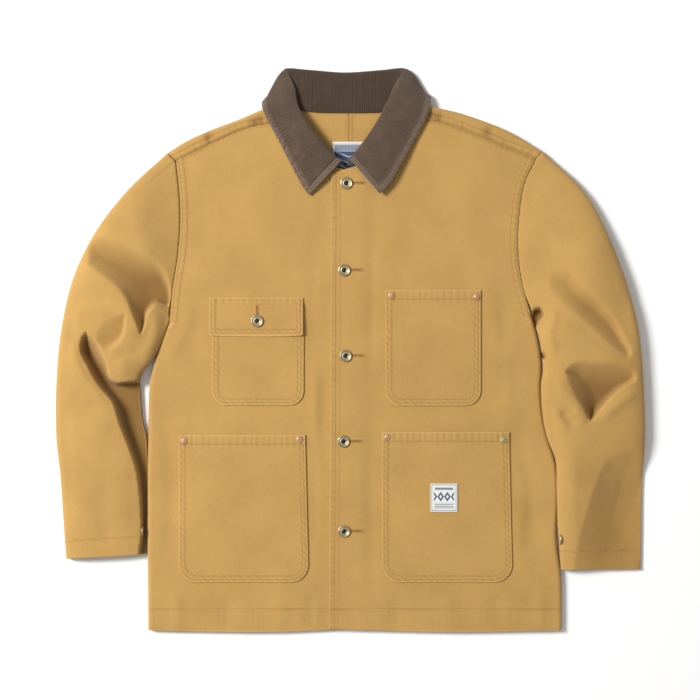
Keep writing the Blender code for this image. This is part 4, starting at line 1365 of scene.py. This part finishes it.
def build_pocket(pocket):
    cloth = bpy.context.scene.jacket_cloth
    height = pocket.top - pocket.bottom
    r = pocket.radius
    turn = r * (1 - np.cos(np.linspace(0, np.pi / 2, 16)))
    count = int(height / 2.0)
    steps = np.concatenate([turn, np.linspace(turn[-1], height, count)[1:]])
    between = np.linspace(0.1, 0.9, int((pocket.right - pocket.left) / 2.8))
    across = np.concatenate([np.linspace(0, 0.1, 12), between[1:-1], np.linspace(0.9, 1, 12)])
    up = np.maximum(0, 1 - steps / r)
    inset = r * (1 - np.sqrt(1 - up * up))
    flare = pocket.lean * (1 - steps / height)
    left, right = pocket.left + inset, pocket.right + flare - inset
    x = left[:, None] + (right - left)[:, None] * across
    y = (pocket.bottom + steps)[:, None] + 0 * x
    if pocket is FLAP:
        y = y - 1.6 * np.sin(np.pi * across) * (1 - steps / height)[:, None]
    middle, tone = pocket_middle(pocket, x, y)
    grid = np.dstack([x, y, middle])
    obj = cloth_mesh(f"canvas_{pocket.name}", grid, cloth.wall / MM, {"tone": tone}, rim=0.5)
    finish_piece(obj, canvas_material(), "canvas", pocket.name)

    top = lambda px, py: pocket_middle(pocket, px, py)[0] + cloth.wall / MM / 2
    lines = []
    straight = height - 4 - r
    share = np.arange(20) / 20
    bow = np.linspace(0, np.pi / 2, 14)
    for offset in POCKET_ROWS:
        bend = max(r - offset, 1)
        sines, cosines = bend * (1 - np.sin(bow)), bend * (1 - np.cos(bow))
        near, far = pocket.left + offset, pocket.right - offset
        low = pocket.bottom + offset
        down = np.column_stack([np.full(20, near), pocket.top - 4 - share * straight])
        first = np.column_stack([near + cosines, low + sines])
        last = np.column_stack([far + pocket.lean - sines, low + cosines])
        rise = np.column_stack([far + pocket.lean * (1 - share), pocket.bottom + r + (share + 0.05) * straight])
        lines.append(trimmed(np.concatenate([down, first, last, rise]), 0, 0))
    for row in FLAP_TOP_ROWS if pocket is FLAP else POCKET_MOUTH_ROWS:
        row_y = pocket.top - row
        lines.append(np.array([(pocket.left + 3.0, row_y), (pocket.right - 3.0, row_y)]))
    return obj, on_front(pocket.panel, f"topstitch_{pocket.name}", lines, top)


def button_profile(radius):
    """From the eye in its middle outward: a small boss, a deep groove, a dished ring and a rolled rim."""
    return [
        (0.10 * radius, 0.55), (0.20 * radius, 0.5), (0.25 * radius, 0.2), (0.31 * radius, 0.55),
        (0.36 * radius, 1.35), (0.42 * radius, 1.62), (0.50 * radius, 1.5), (0.58 * radius, 1.25),
        (0.64 * radius, 1.3), (0.70 * radius, 1.75), (0.76 * radius, 2.3), (0.83 * radius, 2.6),
        (0.90 * radius, 2.5), (0.96 * radius, 2.1), (1.00 * radius, 1.5), (0.985 * radius, 0.8),
        (0.92 * radius, 0.3), (0.6 * radius, 0.05), (0.2 * radius, 0.0),
    ]


def buttonhole(name, centre, angle, length, height):
    """A worked buttonhole: a slit with satin stitches all round it."""
    turn = np.array([[math.cos(angle), -math.sin(angle)], [math.sin(angle), math.cos(angle)]])
    rows = []
    step = 0.95
    for k in range(int(length / step) + 1):
        for edge in (-1, 1):
            local = np.array([(k * step - length / 2, edge * 0.55), (k * step - length / 2, edge * 2.3)])
            places = local @ turn.T + centre
            rows.append(np.column_stack([places, height(*places.T) + 0.15]))
    for k in range(7):
        a = -math.pi / 2 + k * math.pi / 6
        ray = np.array((math.cos(a), math.sin(a)))
        local = np.array([ray * 0.6, ray * 2.4]) + (length / 2, 0)
        places = local @ turn.T + centre
        rows.append(np.column_stack([places, height(*places.T) + 0.15]))
    thread = finish_piece(satin_mesh(f"buttonhole_{name}", rows), canvas_thread(), "canvas")
    across, along = np.linspace(-1, 1, 5), np.linspace(-1, 1, 21)
    local = np.dstack(np.meshgrid(along, across))
    wide = 0.62 * np.sqrt(np.clip(1 - local[..., 0] ** 4, 0, 1)) + 0.02
    local = np.dstack([local[..., 0] * length / 2, local[..., 1] * wide])
    places = local @ turn.T + centre
    grid = np.dstack([places, height(places[..., 0], places[..., 1]) + 0.08])
    slit = finish_piece(cloth_mesh(f"slit_{name}", grid, 0.3), slit_material(), "canvas")
    return thread, slit


def satin_mesh(name, rows):
    """Short thick stitches side by side, one for each pair of points."""
    shape, shape_faces = one_stitch()
    points, faces = [], []
    for start, end in rows:
        middle, ahead = (start + end) / 2, end - start
        reach = np.linalg.norm(ahead)
        ahead = ahead / reach
        side = np.cross(UP, ahead)
        up = np.cross(ahead, side)
        base = len(points) * len(shape)
        local = shape * (reach / 2, 0.5, 0.32)
        points.append(middle + local[:, :1] * ahead + local[:, 1:2] * side + local[:, 2:] * up)
        faces += [tuple(v + base for v in face) for face in shape_faces]
    mesh = bpy.data.meshes.new(name)
    mesh.from_pydata(to_frame(np.concatenate(points)).tolist(), [], faces)
    mesh.shade_smooth()
    obj = bpy.data.objects.new(name, mesh)
    bpy.context.scene.collection.objects.link(obj)
    return obj


def build_label(name, box, height, figure):
    """A woven label: a fine grid whose figure is worked into its points, sewn down round its edge."""
    cloth = bpy.context.scene.jacket_cloth
    left, right, bottom, top = box
    shares = np.linspace(0, 1, 76)
    u, v = np.meshgrid(shares, shares)
    x, y = left + (right - left) * u, bottom + (top - bottom) * v
    wall = cloth.label_wall / MM
    edge = np.minimum(np.minimum(u, 1 - u) * (right - left), np.minimum(v, 1 - v) * (top - bottom))
    lift = height(x, y) + LAY_GAP * 2 + wall / 2 + 0.12 * np.sin(x / 4.1) * np.sin(y / 5.3)
    lift = lift - 0.18 * np.exp(-(((edge - 1.6) / 0.7) ** 2))
    woven = figure(u, v)
    obj = cloth_mesh(f"woven_{name}", np.dstack([x, y, lift]), wall, {"figure": woven}, rim=0.3)
    return finish_piece(obj, label_material(), "label", name)


def band(value, low, high, soft=0.012):
    return smooth_step(low - soft, low + soft, value) * (1 - smooth_step(high - soft, high + soft, value))


def pocket_figure(u, v):
    """A plain weaver's pattern: a thin frame, a bar, a row of lozenges, and fine stripes below."""
    frame_line = 1 - band(u, 0.06, 0.94) * band(v, 0.06, 0.94)
    frame_line = frame_line * band(u, 0.035, 0.965) * band(v, 0.035, 0.965)
    bar = band(v, 0.78, 0.86) * band(u, 0.16, 0.84) * (0.45 + 0.55 * (np.sin(u * 95) > -0.2))
    cell = np.abs((u * 4.0) % 1.0 - 0.5)
    tall = np.abs(v - 0.54) / 0.17
    lozenges = smooth_step(-0.04, 0.04, 0.5 - cell - tall * 0.5) * band(u, 0.125, 0.875)
    core = smooth_step(-0.04, 0.04, 0.22 - cell - tall * 0.5)
    stripes = band(v, 0.13, 0.31) * band(u, 0.14, 0.86) * (np.sin(v * 105) > 0.2) * 0.8
    return np.clip(frame_line * 0.8 + bar + lozenges - core + stripes, 0, 1)


def neck_figure(u, v):
    """Pale at the top with a fine stripe, and a dark ground below with pale chevrons."""
    streaks = 0.45 + 0.3 * np.sin(v * 190) + 0.15 * np.sin(u * 150)
    stripe = band(v, 0.70, 0.90) * band(u, 0.06, 0.94) * streaks
    chevrons = np.abs((v * 5 - 2.2 * np.abs(u - 0.5)) % 1.0 - 0.5) < 0.1
    ground = band(v, -0.1, 0.68) * band(u, 0.05, 0.95) * (1 - 0.55 * chevrons)
    haze = 0.3 * band(v, 0.60, 0.95)
    return np.clip(stripe + ground + haze, 0, 1)


class JACKET_OT_backs(bpy.types.Operator):
    """Build the two back panels, with the strips that come over the shoulders"""

    bl_idname = "jacket.backs"
    bl_label = "Backs"

    def execute(self, context):
        for side, cut in (("right", 0.187), ("left", 0.193)):
            piece, stitches = build_back(side)
        return {"FINISHED"}


class JACKET_OT_fronts(bpy.types.Operator):
    """Build the two front panels, the wearer's left over the right"""

    bl_idname = "jacket.fronts"
    bl_label = "Fronts"

    def execute(self, context):
        for side, cut, below in (("right", 0.185, "canvas_back_right"), ("left", 0.196, "canvas_front_right")):
            piece, stitches = build_front(side)
        return {"FINISHED"}


class JACKET_OT_sleeves(bpy.types.Operator):
    """Build the two sleeves, bent at the elbow"""

    bl_idname = "jacket.sleeves"
    bl_label = "Sleeves"

    def execute(self, context):
        for side in ("right", "left"):
            piece, stitches = build_sleeve(side)
        return {"FINISHED"}


class JACKET_OT_collar(bpy.types.Operator):
    """Build the corduroy collar, its stand and its fall"""

    bl_idname = "jacket.collar"
    bl_label = "Collar"

    def execute(self, context):
        piece, stitches = build_collar()
        return {"FINISHED"}


class JACKET_OT_pockets(bpy.types.Operator):
    """Build the four patch pockets and the chest pocket's flap"""

    bl_idname = "jacket.pockets"
    bl_label = "Pockets"

    def execute(self, context):
        for pocket in [*POCKETS, FLAP]:
            piece, stitches = build_pocket(pocket)
        return {"FINISHED"}


class JACKET_OT_buttons(bpy.types.Operator):
    """Build the brass buttons and the buttonholes that hold them"""

    bl_idname = "jacket.buttons"
    bl_label = "Buttons"

    def execute(self, context):
        trim = context.scene.jacket_trim
        radius = trim.button_radius / MM
        brass = metal_material("antiqued brass", tuple(trim.brass), 0.36, linear("#77684A"))
        top = lambda x, y: front_top("left", x, y)
        for number, (x, y) in enumerate(FRONT_BUTTONS, 1):
            centre = (x, y, float(top(np.array([x]), np.array([y]))[0]) + LAY_GAP)
            piece = lathe(f"brass_button_{number}", button_profile(radius), centre, painted_eye_shade=0.42 * radius)
            finish_piece(piece, brass, "button_brass", f"button_{number}")
            buttonhole(f"front_{number}", np.array((x + 14.0, y + 0.5)), 0.0, 21.0, top)
        x, y = FLAP_BUTTON
        top = lambda px, py: pocket_middle(FLAP, px, py)[0] + wall_of("canvas") / 2
        centre = (x, y, float(top(np.array([x]), np.array([y]))[0]) + LAY_GAP)
        piece = lathe("brass_button_flap", button_profile(radius), centre, painted_eye_shade=0.42 * radius)
        finish_piece(piece, brass, "button_brass", "button_flap")
        buttonhole("flap", np.array((x, y + 12.0)), math.pi / 2, 19.0, top)
        for side, (x, y) in CUFF_BUTTONS.items():
            inward = 1 if side == "right" else -1
            base = wall_of("canvas") / 2 + LAY_GAP
            piece = lathe(f"brass_button_cuff_{side}", button_profile(radius), (0, 0, 0))
            corners = np.empty(len(piece.data.vertices) * 3)
            piece.data.vertices.foreach_get("co", corners)
            corners = corners.reshape(-1, 3) - to_frame((0, 0, 0))
            turned = np.column_stack([inward * corners[:, 2], corners[:, 1], -inward * corners[:, 0]])
            turned += to_frame((x + inward * base, y, radius + LAY_GAP))
            piece.data.vertices.foreach_set("co", turned.ravel())
            piece.data.update()
            finish_piece(piece, brass, "button_brass", f"button_cuff_{side}")
        return {"FINISHED"}


class JACKET_OT_rivets(bpy.types.Operator):
    """Build the copper rivets at the pocket corners"""

    bl_idname = "jacket.rivets"
    bl_label = "Rivets"

    def execute(self, context):
        trim = context.scene.jacket_trim
        r = trim.rivet_radius / MM
        profile = [
            (0.12 * r, 1.5), (0.3 * r, 1.46), (0.48 * r, 1.3),
            (0.6 * r, 1.02), (0.66 * r, 0.82), (0.74 * r, 0.86),
            (0.84 * r, 0.92), (0.93 * r, 0.8), (1.0 * r, 0.45), (0.98 * r, 0.1), (0.5 * r, 0.0),
        ]
        copper = metal_material("struck copper", tuple(trim.copper), 0.62, linear("#A87C60"))
        green = metal_material("copper with verdigris", linear("#BDB08A"), 0.6, linear("#9A9A74"))
        pockets = {pocket.name.replace("pocket_", ""): pocket for pocket in POCKETS}
        for name, x, y in RIVETS:
            pocket = pockets[name.replace("rivet_", "").rsplit("_", 1)[0]]
            height = pocket_middle(pocket, np.array([float(x)]), np.array([float(y)]))[0][0]
            centre = (x, y, float(height) + wall_of("canvas") / 2 + 0.1)
            piece = lathe(f"copper_{name}", profile, centre, steps=28)
            finish_piece(piece, green if name == "rivet_hip_left_outer" else copper, "rivet_copper", name)
        return {"FINISHED"}


class JACKET_OT_labels(bpy.types.Operator):
    """Build the woven labels on the hip pocket and inside the neck"""

    bl_idname = "jacket.labels"
    bl_label = "Labels"

    def execute(self, context):
        pocket = POCKETS[3]
        half = wall_of("canvas") / 2
        on_pocket = lambda x, y: pocket_middle(pocket, x, y)[0] + half
        at_neck = lambda x, y: flat_back_height(y) + half + 0.2
        for name, box, height, figure, below in (
            ("label_pocket", POCKET_LABEL, on_pocket, pocket_figure, "canvas_pocket_hip_left"),
            ("label_neck", NECK_LABEL, at_neck, neck_figure, "canvas_back_left"),
        ):
            piece = build_label(name, box, height, figure)
        return {"FINISHED"}


class JACKET_OT_stage(bpy.types.Operator):
    """Set the floor, the soft lights and the camera"""

    bl_idname = "jacket.stage"
    bl_label = "Stage"

    def execute(self, context):
        stage = context.scene.jacket_stage
        deselect_all()
        bpy.ops.mesh.primitive_plane_add(size=8, location=(0, 0, -0.0004))
        floor = context.object
        floor.name = "floor"
        bpy.ops.object.transform_apply(location=True)
        # Seamless studio paper: even, matt and a little off white.
        paper, tree, shader, place = new_material("studio paper", 0.95)
        grain = add(tree, "ShaderNodeTexNoise", {"Vector": place, "Scale": 900.0, "Detail": 2.0})
        pale = tuple(stage.floor)
        colour = mixed(tree, grain.outputs[0], pale, tuple(0.97 * value for value in pale))
        tree.links.new(colour, shader.inputs["Base Color"])
        floor.data.materials.append(paper)

        world = bpy.data.worlds.new("studio")
        context.scene.world = world
        world.use_nodes = True
        background = world.node_tree.nodes["Background"]
        background.inputs["Color"].default_value = (0.98, 0.99, 1.0, 1)
        background.inputs["Strength"].default_value = stage.fill

        key = bpy.data.lights.new("key", "AREA")
        key.shape = "RECTANGLE"
        key.size, key.size_y = 1.2, 1.4
        key.energy = stage.key_power
        key.color = (1.0, 0.985, 0.96)
        lamp = bpy.data.objects.new("key", key)
        place = np.array((-2.85, 1.05, 2.95))
        lamp.location = place
        lamp.rotation_euler = direction_to_floor(place)
        context.scene.collection.objects.link(lamp)

        camera = bpy.data.objects.new("camera", bpy.data.cameras.new("camera"))
        camera.data.lens = stage.lens
        camera.location = (-OUTLINE_CENTRE[0] * MM, -OUTLINE_CENTRE[1] * MM, stage.height)
        context.scene.collection.objects.link(camera)
        context.scene.camera = camera
        context.scene.view_settings.view_transform = "Standard"
        return {"FINISHED"}


def direction_to_floor(place):
    """Turn of a lamp at a place, so that it shines at the jacket's middle."""
    x, y, z = place
    return (math.atan2(math.hypot(x, y), z), 0, math.atan2(x, -y) if x or y else 0)


class JACKET_PT_sidebar(bpy.types.Panel):
    """Sizes, colours and builders of the jacket"""

    bl_idname = "JACKET_PT_sidebar"
    bl_label = "Chore Jacket"
    bl_space_type = "VIEW_3D"
    bl_region_type = "UI"
    bl_category = "Jacket"

    def draw(self, context):
        for group in ("jacket_cloth", "jacket_trim", "jacket_stage"):
            box = self.layout.box()
            settings = getattr(context.scene, group)
            for name in settings.__annotations__:
                box.prop(settings, name)
        for operator in OPERATORS:
            self.layout.operator(operator.bl_idname)


SETTINGS = {"jacket_cloth": ClothSettings, "jacket_trim": TrimSettings, "jacket_stage": StageSettings}
OPERATORS = (
    JACKET_OT_stage,
    JACKET_OT_backs,
    JACKET_OT_fronts,
    JACKET_OT_sleeves,
    JACKET_OT_collar,
    JACKET_OT_pockets,
    JACKET_OT_buttons,
    JACKET_OT_rivets,
    JACKET_OT_labels,
)


def register():
    for made in (*SETTINGS.values(), *OPERATORS, JACKET_PT_sidebar):
        bpy.utils.register_class(made)
    for name, group in SETTINGS.items():
        setattr(bpy.types.Scene, name, PointerProperty(type=group))


def unregister():
    for name in SETTINGS:
        delattr(bpy.types.Scene, name)
    for made in (JACKET_PT_sidebar, *reversed(OPERATORS), *reversed(SETTINGS.values())):
        bpy.utils.unregister_class(made)


def main():
    register()
    for operator in OPERATORS:
        group, name = operator.bl_idname.split(".")
        if getattr(getattr(bpy.ops, group), name)() != {"FINISHED"}:
            raise RuntimeError(f"{operator.bl_label} didn't finish")


if __name__ == "__main__":
    main()
